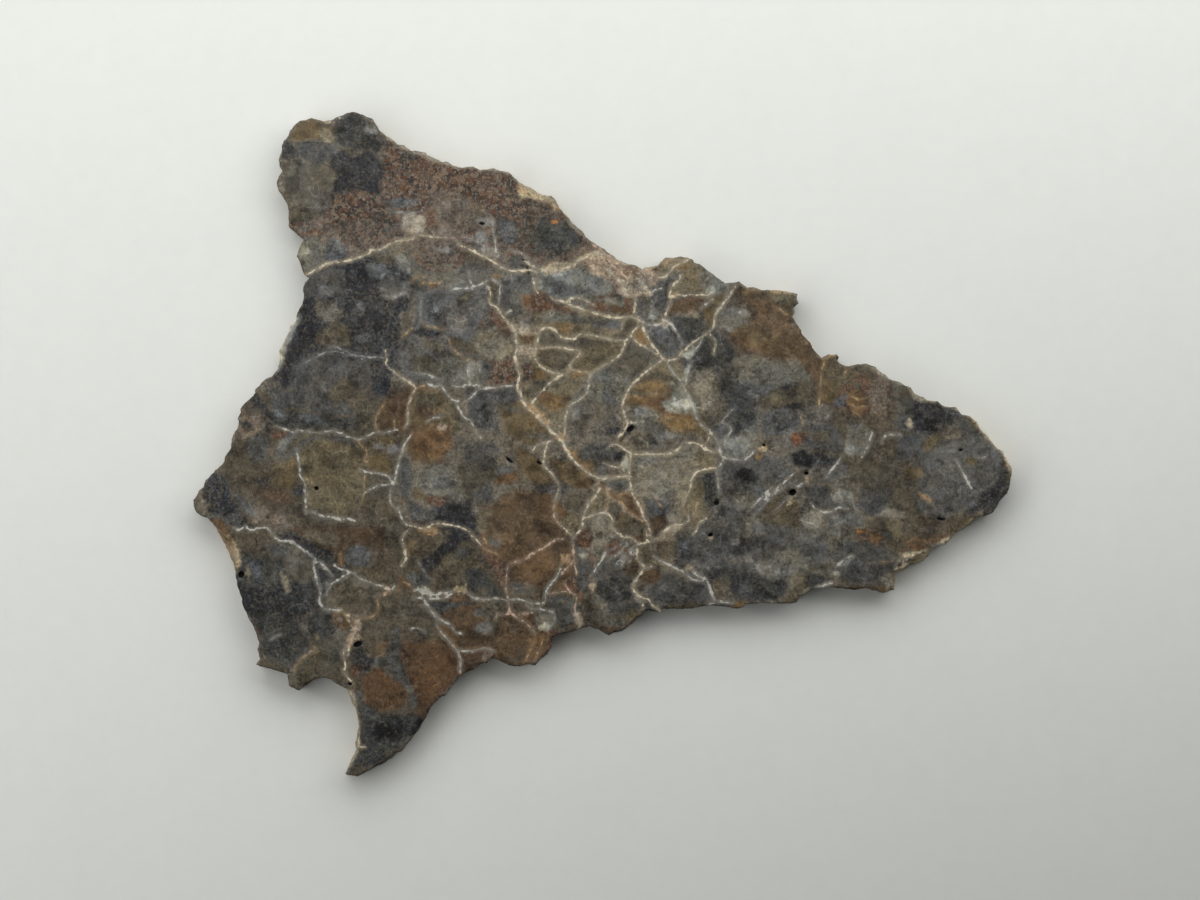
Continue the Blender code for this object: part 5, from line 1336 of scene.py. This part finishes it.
def fill_face(shape, height, inner_points, upward):
    """Divides a flat face between its rim and its pits into small triangles."""
    loops = boundary_loops(shape, height)
    verts = [vert for loop in loops for vert in loop]
    flat = [vert.co.xy / MM for vert in verts]
    edges = []
    for loop in loops:
        start = len(edges)
        edges += [(start + i, start + (i + 1) % len(loop)) for i in range(len(loop))]
    inner = [Vector(point) for point in inner_points]
    places, _, faces, origins, _, _ = geometry.delaunay_2d_cdt(flat + inner, edges, [], 0, 1e-6, True)
    middles = np.array(places)[np.array(faces)].mean(axis=1)
    rim = np.array(flat)
    keep = enclosed(middles, [(rim[a], rim[b]) for a, b in edges])
    made = {}
    for i, origin in enumerate(origins):
        old = [o for o in origin if o < len(verts)]
        made[i] = verts[old[0]] if old else None
    for face in np.array(faces)[keep].tolist():
        for i in face:
            if made[i] is None:
                made[i] = shape.verts.new((places[i].x * MM, places[i].y * MM, height))
        corners = [made[i] for i in face]
        shape.faces.new(corners if upward else corners[::-1])


def enclosed(points, edges):
    """Which points lie inside closed outlines and outside the holes in them."""
    inside = np.zeros(len(points), bool)
    for a, b in edges:
        if a[1] != b[1]:
            crosses = (a[1] > points[:, 1]) != (b[1] > points[:, 1])
            slant = (b[0] - a[0]) / (b[1] - a[1])
            inside ^= crosses & (points[:, 0] < a[0] + (points[:, 1] - a[1]) * slant)
    return inside


def dense_slice(sizes, strands):
    """A closed fine mesh of the frame's solid, with marks for its rim and its pits."""
    shape = bmesh.new()
    shape.from_mesh(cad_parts[NODE].data)
    bmesh.ops.remove_doubles(shape, verts=shape.verts, dist=1e-7)
    flat = [f for f in shape.faces if abs(f.normal.z) > 0.999 and on_a_face(f)]
    bmesh.ops.delete(shape, geom=flat, context="FACES")
    bmesh.ops.subdivide_edges(shape, edges=shape.edges, cuts=sizes.rim_cuts, use_grid_fill=True)
    bmesh.ops.triangulate(shape, faces=shape.faces)
    rim_mark = shape.verts.layers.float.new("broken")
    pit_mark = shape.verts.layers.float.new("pit")
    mark_rim_and_pits(shape, rim_mark, pit_mark)
    rows = []
    for _, route, half, across in strands:
        margin = half + sizes.vein_margin / MM
        rows += [route, route + across * margin[:, None], route - across * margin[:, None]]
    for height, step, with_veins, upward in (
        (THICKNESS, sizes.face_step, True, True), (0.0, sizes.back_step, False, False)
    ):
        loops = [np.array([v.co.xy / MM for v in loop]) for loop in boundary_loops(shape, height)]
        vein_rows = np.vstack(rows) if with_veins else np.empty((0, 2))
        fill_face(shape, height, face_points(step / MM, vein_rows, loops), upward)
    return shape


def on_a_face(face):
    """Whether a face lies in the upper or the back face of the slice."""
    heights = [v.co.z for v in face.verts]
    return min(heights) > THICKNESS - 1e-6 or max(heights) < 1e-6


def mark_rim_and_pits(shape, rim_mark, pit_mark):
    """Marks the wall that runs from face to face as rim, and each other hollow as a pit by its depth."""
    left = set(shape.verts)
    while left:
        grown = [left.pop()]
        patch = []
        while grown:
            vert = grown.pop()
            patch.append(vert)
            for edge in vert.link_edges:
                other = edge.other_vert(vert)
                if other in left:
                    left.remove(other)
                    grown.append(other)
        is_rim = min(v.co.z for v in patch) < 1e-6
        for vert in patch:
            if is_rim:
                vert[rim_mark] = 1.0 if 1e-6 < vert.co.z < THICKNESS - 1e-6 else 0.6
            else:
                vert[pit_mark] = min(1.0, (THICKNESS - vert.co.z) / PIT_FULL_DEPTH)


def drawn_shapes(text):
    """Each shape of a list as (tone, softness, outline or oval), over as many lines as it takes."""
    shapes = []
    for line in text.strip().replace("\n ", " ").splitlines():
        tone, soft, *spots = line.split()
        if spots[0] == "oval":
            middle, reach = numbers(" ".join(spots[1:3]))
            shapes.append((tone, float(soft), (middle, reach, math.radians(float(spots[3])))))
        else:
            shapes.append((tone, float(soft), numbers(" ".join(spots))))
    return shapes


def shape_cover(shape, xy, soft):
    """How fully a drawn shape covers each point, from 0 to 1, with an edge this soft."""
    if isinstance(shape, tuple):
        middle, reach, turn = shape
        away = xy - middle
        along = (away[:, 0] * math.cos(turn) + away[:, 1] * math.sin(turn)) / reach[0]
        across = (away[:, 1] * math.cos(turn) - away[:, 0] * math.sin(turn)) / reach[1]
        depth = (1.0 - np.hypot(along, across)) * min(reach)
    else:
        distance = np.full(len(xy), 1e9)
        edges = list(zip(shape, np.roll(shape, -1, axis=0)))
        for a, b in edges:
            run = b - a
            away = xy - a
            share = np.clip(away @ run / max(run @ run, 1e-12), 0.0, 1.0)
            distance = np.minimum(distance, np.linalg.norm(away - share[:, None] * run, axis=1))
        depth = np.where(enclosed(xy, edges), distance, -distance)
    rise = np.clip(depth / (2.0 * soft) + 0.5, 0.0, 1.0)
    return rise * rise * (3.0 - 2.0 * rise)


def shape_box(shape):
    """The lowest and highest corner of a drawn shape."""
    if isinstance(shape, tuple):
        return shape[0] - max(shape[1]), shape[0] + max(shape[1])
    return shape.min(axis=0), shape.max(axis=0)


def paint(places, marks, sizes, tones):
    """The rock's colour, its texture and the borders of its clasts at each point of the mesh."""
    xy = places[:, :2] / MM
    depth = 1.0 - places[:, 2] / THICKNESS
    wander = sizes.edge_wander / MM
    drawn = xy.copy()
    for axis, seed in ((0, 11.0), (1, 23.0)):
        drawn[:, axis] += wander * (cloud(xy, 1.1, seed) + 0.5 * cloud(xy, 0.35, seed + 5.0))
        drawn[:, axis] += depth * BACK_SHIFT * cloud(xy, 3.0, seed + 9.0)
    names = list(TONES)
    tone_colours = {name: np.array(getattr(tones, name)[:]) for name in names}
    textures = {name: np.array(TONES[name][3:]) for name in names}
    colour = np.tile(tone_colours[GROUND], (len(xy), 1))
    texture = np.tile(textures[GROUND], (len(xy), 1))
    outline = np.zeros(len(xy))
    rim = marks["broken"] > 0.0
    for group, only_rim in ((AREAS, False), (CLASTS, False), (RIM_PATCHES, True)):
        for tone, soft, shape in drawn_shapes(group):
            low, high = shape_box(shape)
            near = np.all((drawn > low - 2 * soft) & (drawn < high + 2 * soft), axis=1)
            if only_rim:
                near &= rim
            if not near.any():
                continue
            cover = shape_cover(shape, drawn[near], soft)[:, None]
            if group is CLASTS:
                border = 4.0 * cover * (1.0 - cover)
                outline[near] = np.maximum(outline[near][:, None] * (1.0 - cover), border)[:, 0]
            if only_rim:
                cover = cover * marks["broken"][near][:, None]
            colour[near] += (tone_colours[tone] - colour[near]) * cover
            texture[near] += (textures[tone] - texture[near]) * cover
    return colour, texture, outline


def store(mesh, name, kind, values):
    """Writes one value or colour for each point of a mesh."""
    layer = mesh.attributes.get(name) or mesh.attributes.new(name, kind, "POINT")
    if kind == "FLOAT_COLOR":
        values = np.column_stack([values, np.ones(len(values))])
        layer.data.foreach_set("color", values.astype(np.float32).ravel())
    else:
        layer.data.foreach_set("value", values.astype(np.float32))


def vein_lines(strands, tones):
    """The veins as bare edges that carry their half width and their colour."""
    points = []
    edges = []
    halves = []
    colours = []
    for kind, route, half, _ in strands:
        first = len(points)
        points += [(x * MM, y * MM, THICKNESS) for x, y in route.tolist()]
        edges += [(first + i, first + i + 1) for i in range(len(route) - 1)]
        halves += (half * MM).tolist()
        colours += [getattr(tones, kind)[:]] * len(route)
    mesh = bpy.data.meshes.new("vein_lines")
    mesh.from_pydata(points, edges, [])
    store(mesh, "half_width", "FLOAT", np.array(halves))
    store(mesh, "vein_tone", "FLOAT_COLOR", np.array(colours))
    guide = bpy.data.objects.new("vein_lines", mesh)
    bpy.context.scene.collection.objects.link(guide)
    return guide


def finishing_tree():
    """Measures the veins on the rock and presses its low relief into the surface."""
    group = bpy.data.node_groups.new("finish_rock", "GeometryNodeTree")
    for name, kind in (
        ("Geometry", "NodeSocketGeometry"), ("Veins", "NodeSocketObject"),
        ("Vein Shift", "NodeSocketFloat"),
        ("Relief", "NodeSocketFloat"), ("Rim Relief", "NodeSocketFloat"), ("Thickness", "NodeSocketFloat"),
        ("Material", "NodeSocketMaterial"),
    ):
        group.interface.new_socket(name, in_out="INPUT", socket_type=kind)
    group.interface.new_socket("Geometry", in_out="OUTPUT", socket_type="NodeSocketGeometry")
    tree = Tree(group)
    entry = group.nodes.new("NodeGroupInput")
    given = {socket.name: Wire(tree, socket) for socket in entry.outputs if socket.name}
    place = tree.node("GeometryNodeInputPosition", {}, {})
    sunk = 1.0 - tree.parts(place)[2] / given["Thickness"]
    wander = tree.lumps(place, 2.2 * MM, 2.0, output="Color")
    centred = tree.node("ShaderNodeVectorMath", {"operation": "SUBTRACT"}, {0: wander, 1: (0.5, 0.5, 0.5)})
    shift = tree.shade(centred, sunk * given["Vein Shift"] * 2.0)
    moved = tree.node("ShaderNodeVectorMath", {"operation": "ADD"}, {0: place, 1: shift})
    level = tree.node("ShaderNodeVectorMath", {"operation": "MULTIPLY"}, {0: moved, 1: (1.0, 1.0, 0.0)})
    lift = tree.node("ShaderNodeCombineXYZ", {}, {2: given["Thickness"]})
    sample = tree.node("ShaderNodeVectorMath", {"operation": "ADD"}, {0: level, 1: lift})
    lines = tree.node("GeometryNodeObjectInfo", {}, {"Object": given["Veins"]}, "Geometry")
    gap = tree.node(
        "GeometryNodeProximity", {"target_element": "EDGES"},
        {0: lines, "Sample Position": sample}, "Distance"
    )
    nearest = tree.node(
        "GeometryNodeSampleNearest", {"domain": "POINT"}, {"Geometry": lines, "Sample Position": sample}
    )

    def at_nearest(name, kind):
        field = tree.node("GeometryNodeInputNamedAttribute", {"data_type": kind}, {"Name": name})
        inputs = {"Geometry": lines, "Value": field, "Index": nearest}
        return tree.node("GeometryNodeSampleIndex", {"data_type": kind, "domain": "POINT"}, inputs)

    def stored(rock, name, kind, value):
        settings = {"data_type": kind, "domain": "POINT"}
        return tree.node(
            "GeometryNodeStoreNamedAttribute", settings, {"Geometry": rock, "Name": name, "Value": value}
        )

    def named(name, kind="FLOAT"):
        return tree.node("GeometryNodeInputNamedAttribute", {"data_type": kind}, {"Name": name})

    rock = stored(given["Geometry"], "vein_edge", "FLOAT", gap - at_nearest("half_width", "FLOAT"))
    rock = stored(rock, "vein_tone", "FLOAT_COLOR", at_nearest("vein_tone", "FLOAT_COLOR"))
    grit, rust, _ = tree.parts(named("texture", "FLOAT_COLOR"))
    fine = tree.lumps(place, 0.35 * MM, 2.0)
    coarse = tree.lumps(place, 1.3 * MM, 2.0)
    torn = (grit + rust).lowest(1.0) * fine.between(0.42, 0.8) + 0.5 * coarse.between(0.5, 0.85)
    lumps = tree.lumps(place, 0.6 * MM, 3.0, 0.6).between(0.35, 0.68)
    press = given["Relief"] * torn + given["Rim Relief"] * lumps * named("broken")
    normal = tree.node("GeometryNodeInputNormal", {}, {})
    offset = tree.shade(normal, 0.0 - press)
    rock = tree.node("GeometryNodeSetPosition", {}, {"Geometry": rock, "Offset": offset})
    rock = tree.node("GeometryNodeRealizeInstances", {}, {"Geometry": rock})
    rock = tree.node("GeometryNodeSetMaterial", {}, {"Geometry": rock, "Material": given["Material"]})
    exit_node = group.nodes.new("NodeGroupOutput")
    group.links.new(rock.socket, exit_node.inputs[0])
    return group


def run_tree(rock, group, values):
    """The object's mesh after the tree, as a plain mesh, with its modifier gone."""
    modifier = rock.modifiers.new(group.name, "NODES")
    modifier.node_group = group
    for item in group.interface.items_tree:
        if item.in_out == "INPUT" and item.name in values:
            modifier[item.identifier] = values[item.name]
    graph = bpy.context.evaluated_depsgraph_get()
    finished = bpy.data.meshes.new_from_object(rock.evaluated_get(graph), depsgraph=graph)
    rock.modifiers.remove(modifier)
    return finished


def breccia_material(wetness):
    """The rock's shader: painted clasts, grain, rust, hairlines, veins and painted shade in the pits."""
    material = bpy.data.materials.new("breccia")
    material.use_nodes = True
    tree = Tree(material.node_tree)
    shader = material.node_tree.nodes["Principled BSDF"]
    place = tree.node("ShaderNodeTexCoord", {}, {}, "Object")
    stone = tree.node("ShaderNodeAttribute", {"attribute_name": "stone"}, {}, "Color")
    grit, rust, crazed = tree.parts(
        tree.node("ShaderNodeAttribute", {"attribute_name": "texture"}, {}, "Color")
    )
    broken = tree.node("ShaderNodeAttribute", {"attribute_name": "broken"}, {}, "Fac")
    pit = tree.node("ShaderNodeAttribute", {"attribute_name": "pit"}, {}, "Fac")
    outline = tree.node("ShaderNodeAttribute", {"attribute_name": "outline"}, {}, "Fac")
    edge = tree.node("ShaderNodeAttribute", {"attribute_name": "vein_edge"}, {}, "Fac")
    vein_tone = tree.node("ShaderNodeAttribute", {"attribute_name": "vein_tone"}, {}, "Color")

    dust = tree.lumps(place, 0.2 * MM, 3.0, 0.75)
    mottle = tree.lumps(place, 0.7 * MM, 5.0, 0.65, seed=1.0)
    clouds = tree.lumps(place, 2.6 * MM, 3.0, 0.5, seed=2.0)
    fine = (dust - 0.5) * (1.7 + 3.0 * grit)
    middling = (mottle - 0.5) * (1.7 + 1.4 * grit)
    brightness = 1.0 + fine + middling + (clouds - 0.5)
    warmth = tree.lumps(place, 1.5 * MM, 4.0, 0.6, seed=13.0).between(0.3, 0.7)
    colour = tree.tinted(tree.shade(stone, brightness), tree.blend(COOL_TINT, WARM_TINT, warmth))

    def flecks(size, seed, share, ragged=2.0, soft=0.03):
        """Ragged flecks of about this size that cover about this share of the rock."""
        level = 0.5 + 0.08 * NormalDist().inv_cdf(1.0 - share)
        return tree.lumps(place, size, ragged, 0.6, seed=seed).between(level - soft, level + soft)

    def wisps(size, seed, share):
        """Thin curled streaks, in patches that cover about this share of the rock."""
        bent = tree.lumps(tree.shifted(place, size, 0.6 * size), size, 1.0, 0.5, seed=seed)
        line = (bent - 0.5).calculate("ABSOLUTE", bent - 0.5).between(0.016, 0.003)
        return line * flecks(1.6 * size, seed + 0.5, share, 1.0)

    colour = tree.blend(colour, tree.shade(colour, 0.55), flecks(1.2 * MM, 14.0, 0.25, 4.0, 0.04) * 0.9)
    colour = tree.blend(colour, tree.shade(colour, 1.35), flecks(1.0 * MM, 15.0, 0.16, 4.0, 0.05) * 0.7)
    colour = tree.blend(colour, tree.shade(colour, 0.45), grit * flecks(0.45 * MM, 3.0, 0.25, 3.0) * 0.8)
    colour = tree.blend(colour, tree.shade(colour, 0.4), (0.3 + grit) * flecks(0.22 * MM, 4.0, 0.08) * 0.8)
    sprinkled = flecks(0.2 * MM, 5.0, 0.2, 3.0) * mottle.between(0.45, 0.6)
    colour = tree.blend(colour, PALE_GRAIN, (grit + 0.05) * sprinkled * 0.45)
    colour = tree.blend(colour, WARM_GRAIN, (grit * 0.6 + 0.2) * flecks(0.3 * MM, 6.0, 0.12) * 0.35)
    pale_side = tree.lumps(place, 1.4 * MM, 3.0, 0.6, seed=21.0).between(0.44, 0.6)
    colour = tree.blend(colour, tree.shade(colour, 0.5), outline * (1.0 - pale_side) * 0.6)
    colour = tree.blend(colour, tree.shade(colour, 1.5), outline * pale_side * 0.6)
    colour = tree.blend(colour, tree.shade(colour, 1.9), wisps(1.3 * MM, 16.0, 0.5) * 0.6)
    colour = tree.blend(colour, tree.shade(colour, 0.4), wisps(1.7 * MM, 18.0, 0.3) * 0.45)

    colour = tree.blend(colour, DARK_GRAIN, rust * flecks(0.42 * MM, 7.0, 0.33) * 0.75)
    colour = tree.blend(colour, SAND_GRAIN, rust * flecks(0.34 * MM, 8.0, 0.25) * 0.6)
    colour = tree.blend(colour, RUST_GRAIN, rust * flecks(0.38 * MM, 9.0, 0.28) * 0.6)
    colour = tree.blend(colour, PALE_GRAIN, rust * flecks(0.2 * MM, 10.0, 0.14) * 0.5)

    cracks = tree.cells(tree.shifted(place, 0.8 * MM, 0.5 * MM), 1.9 * MM, "DISTANCE_TO_EDGE")
    hairline = cracks.between(0.03, 0.006) * tree.lumps(place, 1.6 * MM, 1.0, seed=11.0).between(0.47, 0.6)
    colour = tree.blend(colour, HAIRLINE, hairline * (0.15 + crazed) * 0.7)
    # A pale tan fringe in patches along the rim, strongest at the edges of the faces and fainter down the
    # wall.
    wall = broken.between(0.65, 1.0)
    rim_fringe_patches = tree.lumps(place, 1.2 * MM, 3.0, 0.6, seed=19.0).between(0.42, 0.6)
    fringe = broken * (1.0 - 0.65 * wall) * rim_fringe_patches
    colour = tree.blend(colour, FRINGE, fringe * 0.8)

    fray = tree.lumps(place, 0.32 * MM, 2.0, 0.6, seed=20.0)
    ragged = edge + (dust - 0.5) * (0.25 * MM) + (fray - 0.5) * (0.5 * MM)
    vein = ragged.between(0.03 * MM, -0.03 * MM)
    worn = tree.lumps(place, 0.55 * MM, 3.0, 0.6, seed=12.0).between(0.4, 0.58)
    beside = (edge + (mottle - 0.5) * (0.9 * MM)).between(0.26 * MM, -0.02 * MM)
    colour = tree.blend(colour, vein_tone, beside * 0.2)
    vein_colour = tree.shade(vein_tone, 0.3 + 0.4 * worn + 0.9 * dust)
    colour = tree.blend(colour, vein_colour, vein * (0.35 + 0.6 * worn))
    # Painted shade: the pits turn near black with depth.
    colour = tree.blend(colour, PIT_PAINTED_SHADE, pit.between(0.05, 0.6))
    material.node_tree.links.new(colour.socket, shader.inputs["Base Color"])

    gloss = wetness * (1.0 - grit).highest(0.0) * (1.0 - rust) * (1.0 - broken)
    roughness = 0.6 - 0.35 * gloss + 0.25 * (mottle - 0.5) + 0.1 * vein
    material.node_tree.links.new(roughness.socket, shader.inputs["Roughness"])
    height = 0.6 * dust + 0.8 * mottle + 0.4 * vein
    bump = tree.node(
        "ShaderNodeBump", {}, {"Strength": 0.35, "Distance": 0.05 * MM, "Height": height}, "Normal"
    )
    material.node_tree.links.new(bump.socket, shader.inputs["Normal"])
    shader.inputs["Specular IOR Level"].default_value = 0.2
    return material


def paper_material(colour):
    """Plain pale paper with a faint cloudiness."""
    material = bpy.data.materials.new("paper")
    material.use_nodes = True
    tree = Tree(material.node_tree)
    shader = material.node_tree.nodes["Principled BSDF"]
    place = tree.node("ShaderNodeTexCoord", {}, {}, "Object")
    fibres = tree.lumps(place, 1.4 * MM, 5.0, 0.65)
    clouds = tree.lumps(place, 6.0 * MM, 2.0)
    brightness = 1.0 + (fibres - 0.5) * 0.07 + (clouds - 0.5) * 0.03
    base = tree.node("ShaderNodeRGB", {}, {})
    base.socket.default_value = (*colour, 1.0)
    tint = tree.shade(base, brightness)
    material.node_tree.links.new(tint.socket, shader.inputs["Base Color"])
    shader.inputs["Roughness"].default_value = 0.9
    shader.inputs["Specular IOR Level"].default_value = 0.1
    bump = tree.node(
        "ShaderNodeBump", {}, {"Strength": 0.25, "Distance": 0.05 * MM, "Height": fibres}, "Normal"
    )
    material.node_tree.links.new(bump.socket, shader.inputs["Normal"])
    return material


class ROCK_OT_slice(bpy.types.Operator):
    """Build the slice with its clasts, veins, pits and broken rim"""

    bl_idname = "rock_slice.slice"
    bl_label = "Slice"

    def execute(self, context):
        scene = context.scene
        sizes = scene.rock_sizes
        strands = vein_strands(sizes.vein_step / MM)
        shape = dense_slice(sizes, strands)
        mesh = bpy.data.meshes.new("slice")
        shape.to_mesh(mesh)
        shape.free()
        places = np.zeros(len(mesh.vertices) * 3)
        mesh.vertices.foreach_get("co", places)
        places = places.reshape(-1, 3)
        marks = {}
        for name in ("broken", "pit"):
            values = np.zeros(len(places))
            mesh.attributes[name].data.foreach_get("value", values)
            marks[name] = values
        colour, texture, outline = paint(places, marks, sizes, scene.rock_tones)
        store(mesh, "stone", "FLOAT_COLOR", colour)
        store(mesh, "texture", "FLOAT_COLOR", texture)
        store(mesh, "outline", "FLOAT", outline)
        rock = bpy.data.objects.new("breccia_slice", mesh)
        scene.collection.objects.link(rock)
        guide = vein_lines(strands, scene.vein_tones)
        material = breccia_material(sizes.wetness)
        values = {
            "Veins": guide, "Vein Shift": sizes.vein_shift, "Relief": sizes.relief,
            "Rim Relief": sizes.rim_relief, "Thickness": THICKNESS, "Material": material,
        }
        rock.data = run_tree(rock, finishing_tree(), values)
        bpy.data.objects.remove(guide)
        rock.data.shade_smooth()
        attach(rock, BODY)
        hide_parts(NODE)
        return {"FINISHED"}


class ROCK_OT_stage(bpy.types.Operator):
    """Set up the pale floor, the soft light and the camera"""

    bl_idname = "rock_slice.stage"
    bl_label = "Stage"

    def execute(self, context):
        scene = context.scene
        stage = scene.rock_stage
        bpy.ops.mesh.primitive_plane_add(size=stage.floor_size, location=(0.0, 0.0, -FLOOR_GAP))
        floor = context.object
        floor.name = "floor"
        floor.data.materials.append(paper_material(stage.paper))

        for name, power, place in (
            ("back_panel", stage.back_power, stage.back_place),
            ("side_panel", stage.side_power, stage.side_place)
        ):
            panel = bpy.data.lights.new(name, "AREA")
            panel.shape = "RECTANGLE"
            panel.size = stage.panel_width
            panel.size_y = stage.panel_depth
            panel.energy = power
            lamp = bpy.data.objects.new(name, panel)
            lamp.location = place
            lamp.rotation_euler = (-Vector(place)).to_track_quat("-Z", "Y").to_euler()
            lamp.visible_camera = False
            scene.collection.objects.link(lamp)

        world = bpy.data.worlds.new("room")
        world.use_nodes = True
        background = world.node_tree.nodes["Background"]
        background.inputs["Color"].default_value = (1.0, 1.0, 1.0, 1.0)
        background.inputs["Strength"].default_value = stage.room_light
        scene.world = world
        scene.view_settings.view_transform = "Standard"
        scene.view_settings.look = "None"

        camera = bpy.data.cameras.new("camera")
        camera.lens = stage.lens
        camera.sensor_width = SENSOR_WIDTH
        camera.clip_start = 0.001
        viewer = bpy.data.objects.new("camera", camera)
        distance = stage.view_width * stage.lens / SENSOR_WIDTH
        viewer.location = stage.view_middle[0], stage.view_middle[1], THICKNESS + distance
        scene.collection.objects.link(viewer)
        scene.camera = viewer
        return {"FINISHED"}


class ROCK_PT_panel(bpy.types.Panel):
    """Lists the slice, its stage and their settings"""

    bl_label = "Rock Slice"
    bl_idname = "ROCK_PT_panel"
    bl_space_type = "VIEW_3D"
    bl_region_type = "UI"
    bl_category = "Rock Slice"

    def draw(self, context):
        for operator in OPERATORS:
            self.layout.operator(operator.bl_idname)
        for _, holder in SETTINGS:
            box = self.layout.box()
            settings = getattr(context.scene, holder)
            for name in type(settings).__annotations__:
                box.prop(settings, name)


OPERATORS = (ROCK_OT_slice, ROCK_OT_stage)
SETTINGS = (
    (RockSizes, "rock_sizes"), (RockTones, "rock_tones"), (VeinTones, "vein_tones"),
    (StageSettings, "rock_stage"),
)


def register():
    for group, holder in SETTINGS:
        bpy.utils.register_class(group)
        setattr(bpy.types.Scene, holder, bpy.props.PointerProperty(type=group))
    for shown in (*OPERATORS, ROCK_PT_panel):
        bpy.utils.register_class(shown)


def unregister():
    for shown in (ROCK_PT_panel, *reversed(OPERATORS)):
        bpy.utils.unregister_class(shown)
    for group, holder in reversed(SETTINGS):
        delattr(bpy.types.Scene, holder)
        bpy.utils.unregister_class(group)


def main():
    register()
    bpy.ops.rock_slice.stage()
    bpy.ops.rock_slice.slice()


if __name__ == "__main__":
    main()
